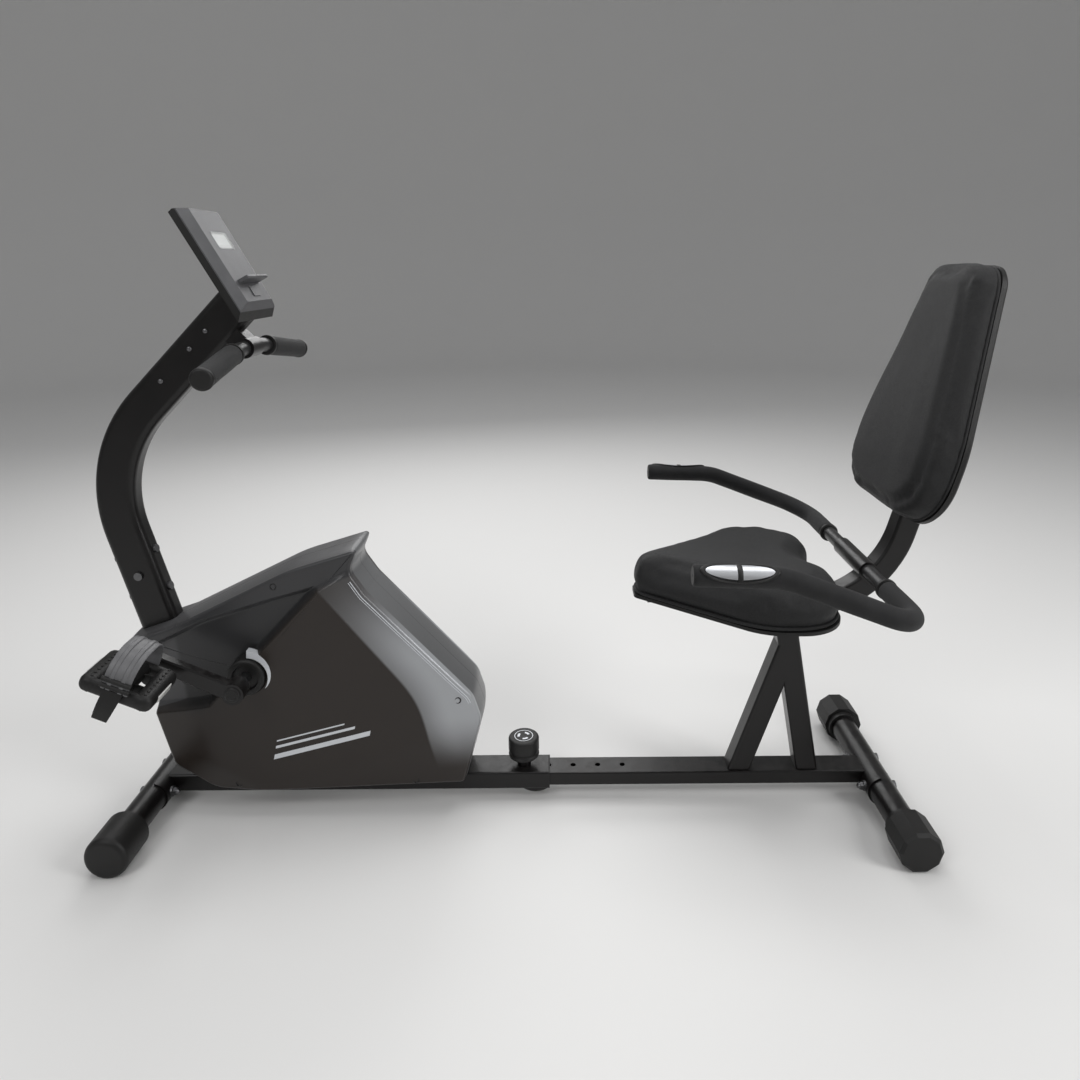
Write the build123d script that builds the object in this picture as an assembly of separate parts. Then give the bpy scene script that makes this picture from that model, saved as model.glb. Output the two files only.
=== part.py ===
from build123d import *
from math import atan2, cos, radians, sin, sqrt, tan
import os

os.makedirs("parts", exist_ok=True)

# Recumbent exercise bike, millimetres.
# +X points rearwards, from the pedals to the seat; +Z is up; the floor is Z = 0.
# The rider faces -X, so -Y is the rider's left.  Y = 0 is the plane of symmetry.

# ---------------------------------------------------------------- fits and clearances
RUNNING_FIT = 0.05        # radial gap of shafts in their bearings
PEDAL_FIT = 0.08          # radial gap of a pedal on its spindle
CAP_FIT = 0.1             # radial gap of an end cap on the stabilizer tube
SLIDE_FIT = 0.1           # gap on each side of the sliding beam in its bush
SLEEVE_FIT = 0.2          # gap on each side of the mast over its stub
HOLE_FIT = 0.2            # radial gap of bolts in their holes
FOAM_FIT = 0.2            # radial gap of foam and plates over what they cover
BELT_FIT = 0.3            # gap of the belt off its pulleys
BUTTON_FIT = 0.25         # gap round the console button
COVER_GAP = 1.0           # gap of the shroud round the tubes that leave it
TUBE_WALL = 2.0

# ---------------------------------------------------------------- stabilizers and feet
STABILIZER_SPAN = 437.0   # over the end caps
STABILIZER_RADIUS = 25.0
FRONT_STABILIZER_X = -716.0
REAR_STABILIZER_X = 635.0
LEVEL_CAP_APOTHEM = 36.0  # tube axis to the flat that stands on the floor
LEVEL_CAP_SIDES = 10
LEVEL_CAP_OFFSET = 2.0    # eccentricity that lifts or lowers the corner
LEVEL_COLLAR_RADIUS = 30.0
LEVEL_COLLAR_LENGTH = 12.0
SOLE_DEPTH = 1.0          # how much of the round front cap its flat sole cuts away
CAP_LENGTH = 75.0
CAP_END = 6.0
CAP_ROUNDING = 9.0
CAP_CHAMFER = 2.0
SADDLE_THICKNESS = 3.0
SADDLE_HALF_LENGTH = 60.0
BASE_BOLT_Y = 42.0
BASE_BOLT_RADIUS = 4.0

STABILIZER_Z = LEVEL_CAP_APOTHEM
FRONT_CAP_RADIUS = STABILIZER_Z + SOLE_DEPTH
CAP_OUTER_Y = STABILIZER_SPAN / 2
CAP_INNER_Y = CAP_OUTER_Y - CAP_LENGTH
TUBE_END_Y = CAP_OUTER_Y - CAP_END - 0.5
SADDLE_RADIUS = STABILIZER_RADIUS + SADDLE_THICKNESS

# ---------------------------------------------------------------- telescoping beam
BEAM_Z = STABILIZER_Z + 6.0
OUTER_BEAM_WIDTH = 58.0
OUTER_BEAM_HEIGHT = 34.0
OUTER_BEAM_END_X = 15.0
BUSH_WALL = 1.9
BUSH_LENGTH = 70.0
BUSH_LIP = 3.0
INNER_BEAM_FRONT_X = -280.0
BEAM_CORNER = 4.0
HOLE_PITCH = 47.0
HOLES_BEHIND_PIN = 4
HOLES_AHEAD_OF_PIN = 2
PIN_X = -31.0
PIN_RADIUS = 5.0
PIN_LIFT = 0.4            # the raised pin's tip above the inner beam
BOSS_RADIUS = 42.0
BOSS_DROP = 10.0
BOSS_WIDTH = 44.0

BEAM_TOP = BEAM_Z + OUTER_BEAM_HEIGHT / 2
OUTER_BORE_WIDTH = OUTER_BEAM_WIDTH - 2 * TUBE_WALL
OUTER_BORE_HEIGHT = OUTER_BEAM_HEIGHT - 2 * TUBE_WALL
INNER_BEAM_WIDTH = OUTER_BORE_WIDTH - 2 * (BUSH_WALL + SLIDE_FIT)
INNER_BEAM_HEIGHT = OUTER_BORE_HEIGHT - 2 * (BUSH_WALL + SLIDE_FIT)
INNER_BEAM_TOP = BEAM_Z + INNER_BEAM_HEIGHT / 2

# ---------------------------------------------------------------- pull knob
KNOB_RADIUS = 29.0
KNOB_HEIGHT = 40.0
KNOB_BASE_Z = BEAM_TOP + 18.0
COLLAR_RADIUS = 13.0
COLLAR_HEIGHT = 10.0
PIN_IN_KNOB = 15.0

# ---------------------------------------------------------------- mast
MAST_FOOT_X = -612.5
MAST_LEAN = 15.4          # degrees forward of vertical, lower run
MAST_RISE = 45.6          # degrees above horizontal, upper run
MAST_CORNER_Z = 664.0
MAST_BEND = 240.0
MAST_UPPER_LENGTH = 396.6
MAST_DEPTH = 70.0
MAST_WIDTH = 40.0
MAST_CORNER_RADIUS = 12.0
MAST_START_Z = 300.0
STUB_TOP_Z = 520.0
MAST_BOLT_RADIUS = 4.0
MAST_BOLT_HEAD = 7.5
CROSS_BOLT_Z = (416.0, 488.0)
SIDE_BOLT_Z = 452.0

MAST_CORNER_X = MAST_FOOT_X - (MAST_CORNER_Z - BEAM_TOP) * tan(radians(MAST_LEAN))
MAST_END_X = MAST_CORNER_X + MAST_UPPER_LENGTH * cos(radians(MAST_RISE))
MAST_END_Z = MAST_CORNER_Z + MAST_UPPER_LENGTH * sin(radians(MAST_RISE))

# ---------------------------------------------------------------- console
CONSOLE_TILT = 29.2       # degrees that its face leans back from vertical
CONSOLE_WIDTH = 156.0
CONSOLE_FACE_WIDTH = 112.0
CONSOLE_HALF_HEIGHT = 87.0
CONSOLE_DEPTH = 24.0
CONSOLE_SPLIT = 12.0      # depth of the bezel in front of the back cover
CONSOLE_CHIN = 24.0
CONSOLE_WALL = 2.5
CONSOLE_ON_MAST = -70.0   # where the mast meets the back, up from the face's middle
BRACKET_PLATE = 3.0
WINDOW_WIDTH = 62.0
WINDOW_HEIGHT = 32.0
WINDOW_UP = 29.0
LENS_THICKNESS = 1.5
BUTTON_WIDTH = 27.0
BUTTON_HEIGHT = 18.0
BUTTON_UP = -69.0
BUTTON_PROUD = 1.3
LEDGE_WIDTH = 88.0
LEDGE_REACH = 20.0
LEDGE_UP = -50.0
LEDGE_THICKNESS = 6.0
GROOVE_DEPTH = 2.0
GROOVE_REACH = (4.0, 14.0)   # of the rest groove, out of the face
BOARD_THICKNESS = 1.6
BOARD_DEPTH = 15.0        # of its front face behind the console's face
BOARD_SIZE = 120.0

# ---------------------------------------------------------------- front hand bar
BAR_RADIUS = 12.5
HAND_BAR_SPAN = 450.0
HAND_BAR_STATION = 57.0   # back down the mast from its end
HAND_BAR_DROP = 62.0      # off the mast's centre line
HAND_BAR_BEND_Y = 50.0
HAND_BAR_SAG = 26.0
HAND_BAR_SWEEP = 13.0
HAND_GRIP_START_Y = 80.0
HAND_GRIP_RADIUS = 17.5
HAND_CAP_LENGTH = 8.0
CLAMP_HALF_LENGTH = 24.0

# ---------------------------------------------------------------- drive
CRANK_X = -519.0
CRANK_Z = 283.0
CRANK_LENGTH = 150.0
CRANK_ANGLE = 155.0       # degrees, left arm at rest, from +X towards +Z
CRANK_AXLE_RADIUS = 10.0
BRACKET_RADIUS = 22.0
BRACKET_BORE = 18.0
BRACKET_HALF_LENGTH = 27.0
BEARING_WIDTH = 10.0
POST_DEPTH = 44.0
POST_WIDTH = 40.0
PULLEY_RADIUS = 108.0
PULLEY_Y = 30.0
PULLEY_WIDTH = 10.0
PULLEY_WEB = 4.0
FLYWHEEL_X = -265.0
FLYWHEEL_Z = 215.0
FLYWHEEL_RADIUS = 105.0
FLYWHEEL_HALF_WIDTH = 13.0
FLYWHEEL_RIM = 24.0
FLYWHEEL_WEB = 8.0
FLYWHEEL_AXLE_RADIUS = 6.0
SMALL_PULLEY_RADIUS = 20.0
BELT_THICKNESS = 2.2
BELT_WIDTH = 8.0
IDLER_RADIUS = 16.0
IDLER_PIN_RADIUS = 4.0
IDLER_PIVOT_X = -445.0
IDLER_PIVOT_Z = 103.0
IDLER_ARM_Y = 22.0
IDLER_ARM_THICKNESS = 6.0
MOUNT_PLATE = 4.0
MOUNT_LEFT_Y = -22.0
MOUNT_RIGHT_Y = 44.0
MOUNT_HALF_LENGTH = 36.0
MAGNET_GAP = 4.0
MAGNET_THICKNESS = 7.0
MAGNET_PIVOT_ANGLE = -78.0
MAGNET_END_ANGLE = -22.0
SERVO_X = (-405.0, -350.0)
SERVO_Y = (-26.0, 16.0)
SERVO_HEIGHT = 46.0

ARM_INNER_Y = 118.0
ARM_OUTER_Y = 134.0
ARM_BOSS_INNER_Y = 104.0
ARM_BOSS_RADIUS = 19.0
ARM_EYE_RADIUS = 15.0
SPINDLE_RADIUS = 7.0
SPINDLE_END_Y = 240.0

# ---------------------------------------------------------------- pedals
PEDAL_Y = 195.0
PEDAL_LENGTH = 118.0
PEDAL_WIDTH = 95.0
PEDAL_THICKNESS = 28.0
PEDAL_TILT = 23.0
PEDAL_RAIL = 14.0
PEDAL_CORE = 30.0
STRAP_WIDTH = 43.0
STRAP_THICKNESS = 4.0
STRAP_HEIGHT = 66.0
STRAP_FOOT = 8.5          # lower edge of the strap above the spindle's axis
STRAP_ROUNDING = 44.0

# ---------------------------------------------------------------- shroud
SHROUD_HALF_WIDTH = 58.0
PANEL_HALF_WIDTH = 71.0
SHROUD_WALL = 3.0
CRANK_BOSS_RADIUS = 33.0
CRANK_BOSS_HOLE = 15.0
CRANK_BOSS_Y = 80.0
# side outline: x, z and corner radius, clockwise from the front of the mast opening
SHROUD_OUTLINE = [
    (-737, 345, 6),
    (-655, 373, 12),
    (-440, 478, 300),
    (-308, 518, 9),
    (-327, 474, 22),
    (-301, 434, 45),
    (-116, 234, 45),
    (-101, 186, 45),
    (-137, 51, 12),
    (-600, 49, 60),
    (-672, 101, 35),
    (-716, 262, 90),
]
# where the bevel of the raised side panel starts, at SHROUD_HALF_WIDTH
SHOULDER_OUTLINE = [
    (-398, 482),
    (-326, 462),
    (-222, 344),
    (-134, 240),
    (-113, 184),
    (-148, 62),
    (-594, 60),
    (-660, 108),
    (-690, 210),
    (-655, 318),
    (-505, 386),
]
# the flat of the raised side panel, at PANEL_HALF_WIDTH, corner for corner
PANEL_OUTLINE = [
    (-392, 466),
    (-330, 412),
    (-246, 306),
    (-194, 236),
    (-184, 186),
    (-212, 76),
    (-588, 74),
    (-646, 116),
    (-670, 206),
    (-634, 300),
    (-500, 358),
]

# ---------------------------------------------------------------- seat carriage
FRONT_LEG_X = 376.5       # at the beam
REAR_LEG_X = 505.5        # at the beam
FRONT_LEG_LEAN = 19.0     # degrees rearwards going up
REAR_LEG_LEAN = 9.7       # degrees forwards going up
LEG_SIZE = 40.0
LEG_CORNER = 5.0
POST_SIZE = 40.0
BACK_POST_Z = 380.0
BACK_POST_FRONT_X = 396.0
BACK_POST_CORNER_X = 621.0
BACK_POST_BEND = 193.0
BACK_POST_TOP_Z = 742.0
BACK_LEAN = 16.0
SEAT_PLATE_THICKNESS = 4.0
SEAT_PLATE_X = (296.0, 476.0)
SEAT_PLATE_HALF_WIDTH = 85.0
CHEEK_X = (424.0, 474.0)
CHEEK_THICKNESS = 4.0
CHEEK_DROP = 26.0
SEAT_PAN_THICKNESS = 6.0
SEAT_PAN_INSET = 3.0
SEAT_THICKNESS = 66.0
SEAT_TOP_ROUNDING = 22.0
SEAT_BOTTOM_ROUNDING = 6.0
NOSE_BLOCK_X = (200.0, 236.0)
NOSE_BLOCK_HALF_WIDTH = 16.0
NOSE_BLOCK_HEIGHT = 12.0
# half outline of the saddle seen from above: x, y and corner radius
SEAT_OUTLINE = [
    (172, 22, 18),
    (374, 181, 110),
    (520, 181, 84),
    (522, 62, 30),
]
SEAT_NOTCH_X = 492.0
# half outline of the back pad: along the back from its anchor, half width, radius
BACK_OUTLINE = [
    (-48, 165, 90),
    (92, 165, 220),
    (403, 85, 52),
]
BACK_ANCHOR_Z = 600.0     # where the back outline's zero height meets the post
BOARD_BACK_THICKNESS = 12.0
BACK_PAD_THICKNESS = 45.0
BACK_PAD_ROUNDING = 16.0
BOARD_INSET = 2.0
BOARD_CHAMFER = 4.0

# ---------------------------------------------------------------- seat handle
HANDLE_HALF_SPAN = 290.0
HANDLE_END = (237.0, 556.0)
HANDLE_KNEE = (368.0, 551.0)
HANDLE_CROSS = (580.0, 468.0)
HANDLE_KNEE_RADIUS = 120.0
HANDLE_CORNER_RADIUS = 65.0
HANDLE_GRIP_RADIUS = 16.5
HANDLE_GRIP_END_Y = 146.0
HANDLE_GRIP_CAP = 4.0
HANDLE_SLEEVE = 4.0
HANDLE_SLEEVE_HALF_LENGTH = 64.0
PULSE_START = 12.0
PULSE_LENGTH = 100.0
PULSE_HEIGHT = 24.0
PULSE_THICKNESS = 0.9
PULSE_STRIP = 8.0
PULSE_TURN = 40.0         # degrees from straight up towards the outside

# ---------------------------------------------------------------- small details
OVERCUT = 1.0             # how far a cut runs past the face it opens
TINY = 0.01
FAR = 2000.0              # beyond every part, for blocks that cut a whole side away
SADDLE_EDGE = 5.0
WASHER_BED = 2.0
WASHER_RISE = 2.5
WASHER_RADIUS = 9.5
BOLT_HEAD_RADIUS = 9.0
BOLT_HEAD_RISE = 4.0
BOLT_HEAD_BED = 3.0
BOLT_TIP = 8.0
NUT_RADIUS = 7.5
NUT_HEIGHT = 6.0
DOME_RADIUS = 5.8
LEVEL_CAP_CHAMFER = 5.0
BOSS_BEHIND_PIN = 22.0
KNOB_ROUNDING = 5.0
KNOB_GROOVE_RISE = 10.0
KNOB_GROOVE_OFF = 2.0
KNOB_GROOVE_RADIUS = 5.0
STUB_EXTRA = 60.0         # stub drawn this far into the beam, then cut flush
MAST_HEAD_HEIGHT = 4.0
CONSOLE_BACK_RISE = 4.0
CONSOLE_CREST = 6.0
CONSOLE_CREST_DEPTH = 8.0
BEVEL_START = 2.0
BEVEL_CLEAR = 5.0
WINDOW_REBATE = 3.0
LENS_SEAT = 1.0
LEDGE_ROUNDING = LEDGE_THICKNESS / 2 - 0.3
GROOVE_WIDTH = LEDGE_WIDTH - 8.0
BOARD_BOSS = 7.0
BOARD_BOSS_INSET = 8.0
BOARD_BOSS_BED = 0.5
DISPLAY_BORDER = 4.0
DISPLAY_GAP = 1.0
BUTTON_PLAY = 0.4
FLANGE_SIDE = 2.0
FLANGE_END = 1.0
FLANGE_THICKNESS = 1.6
BRACKET_SIZE = (48.0, 66.0)
TONGUE_LENGTH = 40.0
TONGUE_SIZE = (MAST_WIDTH - 12.0, MAST_DEPTH - 16.0)
TONGUE_CORNER = 4.0
HAND_BAR_BEND = 90.0
HAND_PLUG_LENGTH = 20.0
HAND_CAP_RADIUS = HAND_GRIP_RADIUS + 0.5
HAND_CAP_ROUNDING = 5.0
CLAMP_BED = 6.0
CLAMP_WALL = 5.0
CLAMP_BLOCK = (2 * CLAMP_HALF_LENGTH - 12.0, 30.0)
GUSSET_RISE = 60.0
GUSSET_EDGE = 12.0
PIN_TIP = 3.0             # how far a pivot pin stands past what turns on it
PULLEY_RIM = 8.0
PULLEY_HUB_RADIUS = 26.0
PULLEY_WINDOWS = 6
PULLEY_WINDOW_RADIUS = 19.0
FLYWHEEL_HUB_RADIUS = 24.0
NECK_RADIUS = SMALL_PULLEY_RADIUS - 5.0
AXLE_NUT_RADIUS = 10.0
AXLE_NUT_HEIGHT = 7.0
AXLE_THIN_NUT_HEIGHT = 4.5
AXLE_TIP = 1.5
MOUNT_HEAD = 14.0
MAGNET_SIDE_GAP = 3.0
MAGNET_BAND = 2 * MAGNET_THICKNESS - 5.0
MAGNET_EYE_WALL = 4.5
SERVO_ROUNDING = 4.0
SERVO_HUB_RADIUS = 9.0
SERVO_HUB_HEIGHT = 6.0
IDLER_EYE_RADIUS = 11.0
AXLE_END_Y = ARM_OUTER_Y - 4.0
ARM_BOSS_PROUD = 4.0
ARM_EYE_PROUD = 2.5
ARM_CHAMFER = 2.5
SPINDLE_COLLAR = 5.0
SPINDLE_SHOULDER = 3.0
PEDAL_CORNER = 10.0
CRANK_BOSS_LIP = 5.0
CRANK_BOSS_DISH = 4.0
LEG_MEETING_Z = 300.0     # height by which the front leg has met the rear one
LEG_TRIM = 200.0
SEAT_PLATE_CORNER = 12.0
SEAT_NOTCH_ROUNDING = 60.0
HANDLE_BLOCK_DEPTH = 26.0


# ---------------------------------------------------------------- helpers
def block(x_range, y_range, z_range):
    """Box between pairs of coordinates."""
    spans = [high - low for low, high in (x_range, y_range, z_range)]
    centre = [(high + low) / 2 for low, high in (x_range, y_range, z_range)]
    return Pos(*centre) * Box(*spans)


def side_prism(face, y_low, y_high):
    """Prism of a face drawn in X and Z, between two values of Y."""
    return Pos(0, y_high, 0) * extrude(Plane.XZ * face, amount=y_high - y_low)


def rod_y(x, z, radius, y_low, y_high):
    """Cylinder along Y."""
    return Pos(x, (y_low + y_high) / 2, z) * Rot(90, 0, 0) * Cylinder(radius, y_high - y_low)


def rod_z(x, y, radius, z_low, z_high):
    """Cylinder along Z."""
    return Pos(x, y, (z_low + z_high) / 2) * Cylinder(radius, z_high - z_low)


def rod_between(start, end, radius):
    """Cylinder from one point to another."""
    axis = Vector(*end) - Vector(*start)
    frame = Plane(origin=start, z_dir=axis).location
    return frame * Pos(0, 0, axis.length / 2) * Cylinder(radius, axis.length)


def rounded_face(corners):
    """Face through corners given as x, y and corner radius."""
    points = [(x, y) for x, y, _ in corners]
    radii = [radius for _, _, radius in corners]
    return make_face(FilletPolyline(*points, radius=radii, close=True))


def mirrored_corners(half):
    """Close a half outline of x, y and radius with its mirror in y."""
    return half + [(x, -y, radius) for x, y, radius in reversed(half)]


def swept(path, section, x_dir):
    """Solid of a section carried along a path, square to its start."""
    start = Plane(origin=path @ 0, x_dir=x_dir, z_dir=path % 0)
    return sweep(start * section, path=path)


def both_sides(solid):
    """A solid and its mirror image in the plane of symmetry, as one group."""
    return solid + mirror(solid, about=Plane.XZ)


def beam_tube(width, height, corner, x_low, x_high):
    """Solid bar with rounded corners along X at the beam's height."""
    section = RectangleRounded(width, height, corner)
    start = Plane(origin=(x_low, 0, BEAM_Z), x_dir=(0, 1, 0), z_dir=(1, 0, 0))
    return extrude(start * section, amount=x_high - x_low)


# ---------------------------------------------------------------- base
def stabilizer(x):
    """Cross tube with its two bolt holes."""
    tube = rod_y(x, STABILIZER_Z, STABILIZER_RADIUS, -TUBE_END_Y, TUBE_END_Y)
    bore = rod_y(x, STABILIZER_Z, STABILIZER_RADIUS - TUBE_WALL, -TUBE_END_Y, TUBE_END_Y)
    return tube - bore - base_bolt_holes(x)


def base_bolt_line(x, y, start, end, radius):
    """Cylinder along X at a base bolt, measured from the stabilizer's axis."""
    return rod_between((x + start, y, STABILIZER_Z), (x + end, y, STABILIZER_Z), radius)


def base_bolt_holes(x):
    """Clearance for both bolts of one stabilizer."""
    reach = 2 * STABILIZER_RADIUS
    hole = base_bolt_line(x, BASE_BOLT_Y, -reach, reach, BASE_BOLT_RADIUS + HOLE_FIT)
    return both_sides(hole)


def saddle(x, side):
    """Curved plate between a stabilizer and its beam; side is +1 when the beam lies to +X."""
    shell = rod_y(x, STABILIZER_Z, SADDLE_RADIUS, -SADDLE_HALF_LENGTH, SADDLE_HALF_LENGTH)
    shell -= rod_y(x, STABILIZER_Z, STABILIZER_RADIUS, -SADDLE_HALF_LENGTH, SADDLE_HALF_LENGTH)
    reach = sorted((x + side * SADDLE_EDGE, x + side * 2 * SADDLE_RADIUS))
    keep = block(reach, (-CAP_INNER_Y, CAP_INNER_Y), (0, 2 * STABILIZER_Z + SADDLE_RADIUS))
    return (shell & keep) - base_bolt_holes(x)


def base_bolts(x, side):
    """Two carriage bolts with their washers and dome nuts."""
    washer_face = SADDLE_RADIUS - WASHER_BED
    nut_face = SADDLE_RADIUS + WASHER_RISE
    outer = STABILIZER_RADIUS + BOLT_HEAD_RISE
    shank = base_bolt_line(x, BASE_BOLT_Y, -side * outer, side * (nut_face + BOLT_TIP), BASE_BOLT_RADIUS)
    inner = STABILIZER_RADIUS - BOLT_HEAD_BED
    head = base_bolt_line(x, BASE_BOLT_Y, -side * inner, -side * outer, BOLT_HEAD_RADIUS)
    head -= rod_y(x, STABILIZER_Z, STABILIZER_RADIUS, 0, 2 * BASE_BOLT_Y)
    washer = base_bolt_line(x, BASE_BOLT_Y, side * washer_face, side * nut_face, WASHER_RADIUS)
    washer -= rod_y(x, STABILIZER_Z, SADDLE_RADIUS, 0, 2 * BASE_BOLT_Y)
    nut_start = Plane(
        origin=(x + side * nut_face, BASE_BOLT_Y, STABILIZER_Z), z_dir=(side, 0, 0)
    )
    nut = extrude(nut_start * RegularPolygon(NUT_RADIUS, 6), amount=NUT_HEIGHT)
    dome = Pos(x + side * (nut_face + NUT_HEIGHT), BASE_BOLT_Y, STABILIZER_Z) * Sphere(DOME_RADIUS)
    return both_sides(shank + head + washer + nut + dome)


def front_cap():
    """Round end cap with a flat sole, on the left."""
    cap = rod_y(FRONT_STABILIZER_X, STABILIZER_Z, FRONT_CAP_RADIUS, -CAP_OUTER_Y, -CAP_INNER_Y)
    cap = fillet(cap.faces().sort_by(Axis.Y)[0].edges(), CAP_ROUNDING)
    cap = chamfer(cap.faces().sort_by(Axis.Y)[-1].edges(), CAP_CHAMFER)
    bore = rod_y(
        FRONT_STABILIZER_X, STABILIZER_Z, STABILIZER_RADIUS + CAP_FIT,
        -CAP_OUTER_Y + CAP_END, -CAP_INNER_Y + OVERCUT,
    )
    below = block(
        (FRONT_STABILIZER_X - 2 * CAP_LENGTH, FRONT_STABILIZER_X + 2 * CAP_LENGTH),
        (-STABILIZER_SPAN, 0), (-STABILIZER_SPAN, 0),
    )
    return cap - bore - below


def level_cap(side):
    """Many-sided eccentric cap that turns on the rear stabilizer to level the bike."""
    outline = RegularPolygon(LEVEL_CAP_APOTHEM, LEVEL_CAP_SIDES, major_radius=False)
    outline = Pos(REAR_STABILIZER_X + LEVEL_CAP_OFFSET, STABILIZER_Z) * outline
    y_range = sorted((side * (CAP_INNER_Y + LEVEL_COLLAR_LENGTH), side * CAP_OUTER_Y))
    cap = side_prism(outline, *y_range)
    outer_face = cap.faces().sort_by(Axis.Y)[-1 if side > 0 else 0]
    cap = chamfer(outer_face.edges(), LEVEL_CAP_CHAMFER)
    collar_range = sorted((side * CAP_INNER_Y, side * (CAP_INNER_Y + LEVEL_COLLAR_LENGTH)))
    cap += rod_y(REAR_STABILIZER_X, STABILIZER_Z, LEVEL_COLLAR_RADIUS, *collar_range)
    bore_range = sorted((side * (CAP_INNER_Y - OVERCUT), side * (CAP_OUTER_Y - CAP_END)))
    return cap - rod_y(REAR_STABILIZER_X, STABILIZER_Z, STABILIZER_RADIUS + CAP_FIT, *bore_range)


def pin_hole(x, z_low, z_high):
    """Hole that the locking pin passes through."""
    return rod_z(x, 0, PIN_RADIUS + HOLE_FIT, z_low, z_high)


def front_beam():
    """Outer beam, from the front saddle to its mouth, with the boss under the mouth."""
    beam = beam_tube(
        OUTER_BEAM_WIDTH, OUTER_BEAM_HEIGHT, BEAM_CORNER, FRONT_STABILIZER_X, OUTER_BEAM_END_X
    )
    boss_x = PIN_X + BOSS_BEHIND_PIN
    boss_z = BEAM_Z - OUTER_BEAM_HEIGHT / 2 - BOSS_DROP + BOSS_RADIUS
    boss = rod_y(boss_x, boss_z, BOSS_RADIUS, -BOSS_WIDTH / 2, BOSS_WIDTH / 2)
    floor_z = BEAM_Z - OUTER_BEAM_HEIGHT / 2 + TUBE_WALL / 2
    reach = (boss_x - BOSS_RADIUS, OUTER_BEAM_END_X)
    beam += boss & block(reach, (-BOSS_WIDTH, BOSS_WIDTH), (0, floor_z))
    beam -= beam_tube(
        OUTER_BORE_WIDTH, OUTER_BORE_HEIGHT, BEAM_CORNER - TUBE_WALL,
        FRONT_STABILIZER_X - OVERCUT, OUTER_BEAM_END_X + OVERCUT,
    )
    beam -= rod_y(
        FRONT_STABILIZER_X, STABILIZER_Z, SADDLE_RADIUS, -OUTER_BEAM_WIDTH, OUTER_BEAM_WIDTH
    )
    beam -= block(
        (FRONT_STABILIZER_X - 2 * SADDLE_RADIUS, FRONT_STABILIZER_X),
        (-OUTER_BEAM_WIDTH, OUTER_BEAM_WIDTH), (0, 2 * BEAM_Z),
    )
    return beam - pin_hole(PIN_X, BEAM_Z, BEAM_TOP + OVERCUT)


def beam_bush():
    """Plastic sleeve in the mouth of the outer beam, with a lip round the mouth."""
    bush = beam_tube(
        OUTER_BORE_WIDTH, OUTER_BORE_HEIGHT, BEAM_CORNER - TUBE_WALL,
        OUTER_BEAM_END_X - BUSH_LENGTH, OUTER_BEAM_END_X,
    )
    bush += beam_tube(
        OUTER_BEAM_WIDTH, OUTER_BEAM_HEIGHT, BEAM_CORNER,
        OUTER_BEAM_END_X, OUTER_BEAM_END_X + BUSH_LIP,
    )
    bush -= beam_tube(
        INNER_BEAM_WIDTH + 2 * SLIDE_FIT, INNER_BEAM_HEIGHT + 2 * SLIDE_FIT, 1.0,
        OUTER_BEAM_END_X - BUSH_LENGTH - 1.0, OUTER_BEAM_END_X + BUSH_LIP + 1.0,
    )
    return bush - pin_hole(PIN_X, BEAM_Z, BEAM_TOP + OVERCUT)


def rear_beam():
    """Inner beam with its row of adjustment holes."""
    corner = 3.0
    beam = beam_tube(
        INNER_BEAM_WIDTH, INNER_BEAM_HEIGHT, corner, INNER_BEAM_FRONT_X, REAR_STABILIZER_X
    )
    beam -= beam_tube(
        INNER_BEAM_WIDTH - 2 * TUBE_WALL, INNER_BEAM_HEIGHT - 2 * TUBE_WALL, corner - TUBE_WALL,
        INNER_BEAM_FRONT_X - 1.0, REAR_STABILIZER_X + 1.0,
    )
    beam -= rod_y(
        REAR_STABILIZER_X, STABILIZER_Z, SADDLE_RADIUS, -INNER_BEAM_WIDTH, INNER_BEAM_WIDTH
    )
    beam -= block(
        (REAR_STABILIZER_X, REAR_STABILIZER_X + 2 * SADDLE_RADIUS),
        (-INNER_BEAM_WIDTH, INNER_BEAM_WIDTH), (0, 2 * BEAM_Z),
    )
    for step in range(-HOLES_AHEAD_OF_PIN, HOLES_BEHIND_PIN + 1):
        beam -= pin_hole(PIN_X + step * HOLE_PITCH, BEAM_Z, BEAM_TOP)
    return beam


def pin_collar():
    """Guide welded on the beam round the locking pin."""
    collar = rod_z(PIN_X, 0, COLLAR_RADIUS, BEAM_TOP, BEAM_TOP + COLLAR_HEIGHT)
    collar = chamfer(collar.faces().sort_by(Axis.Z)[-1].edges(), 2.0)
    return collar - pin_hole(PIN_X, BEAM_Z, BEAM_TOP + COLLAR_HEIGHT + OVERCUT)


def locking_pin():
    """Steel pin, drawn with its tip just clear of the inner beam."""
    return rod_z(PIN_X, 0, PIN_RADIUS, INNER_BEAM_TOP + PIN_LIFT, KNOB_BASE_Z + PIN_IN_KNOB)


def pull_knob():
    """Round pull knob with a grip groove."""
    knob = rod_z(PIN_X, 0, KNOB_RADIUS, KNOB_BASE_Z, KNOB_BASE_Z + KNOB_HEIGHT)
    knob = fillet(knob.edges().filter_by(GeomType.CIRCLE), KNOB_ROUNDING)
    groove_ring = Torus(KNOB_RADIUS + KNOB_GROOVE_OFF, KNOB_GROOVE_RADIUS)
    groove = Pos(PIN_X, 0, KNOB_BASE_Z + KNOB_GROOVE_RISE) * groove_ring
    return knob - groove - rod_z(PIN_X, 0, PIN_RADIUS, KNOB_BASE_Z, KNOB_BASE_Z + PIN_IN_KNOB)


# ---------------------------------------------------------------- mast
def mast_lower_point(z):
    """Point of the mast's lower centre line at a height."""
    return (MAST_FOOT_X - (z - BEAM_TOP) * tan(radians(MAST_LEAN)), 0, z)


def mast_path(z_start):
    """Centre line of the mast from a height inside the shroud to the console."""
    corner = (MAST_CORNER_X, 0, MAST_CORNER_Z)
    end = (MAST_END_X, 0, MAST_END_Z)
    return FilletPolyline(mast_lower_point(z_start), corner, end, radius=MAST_BEND)


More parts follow.
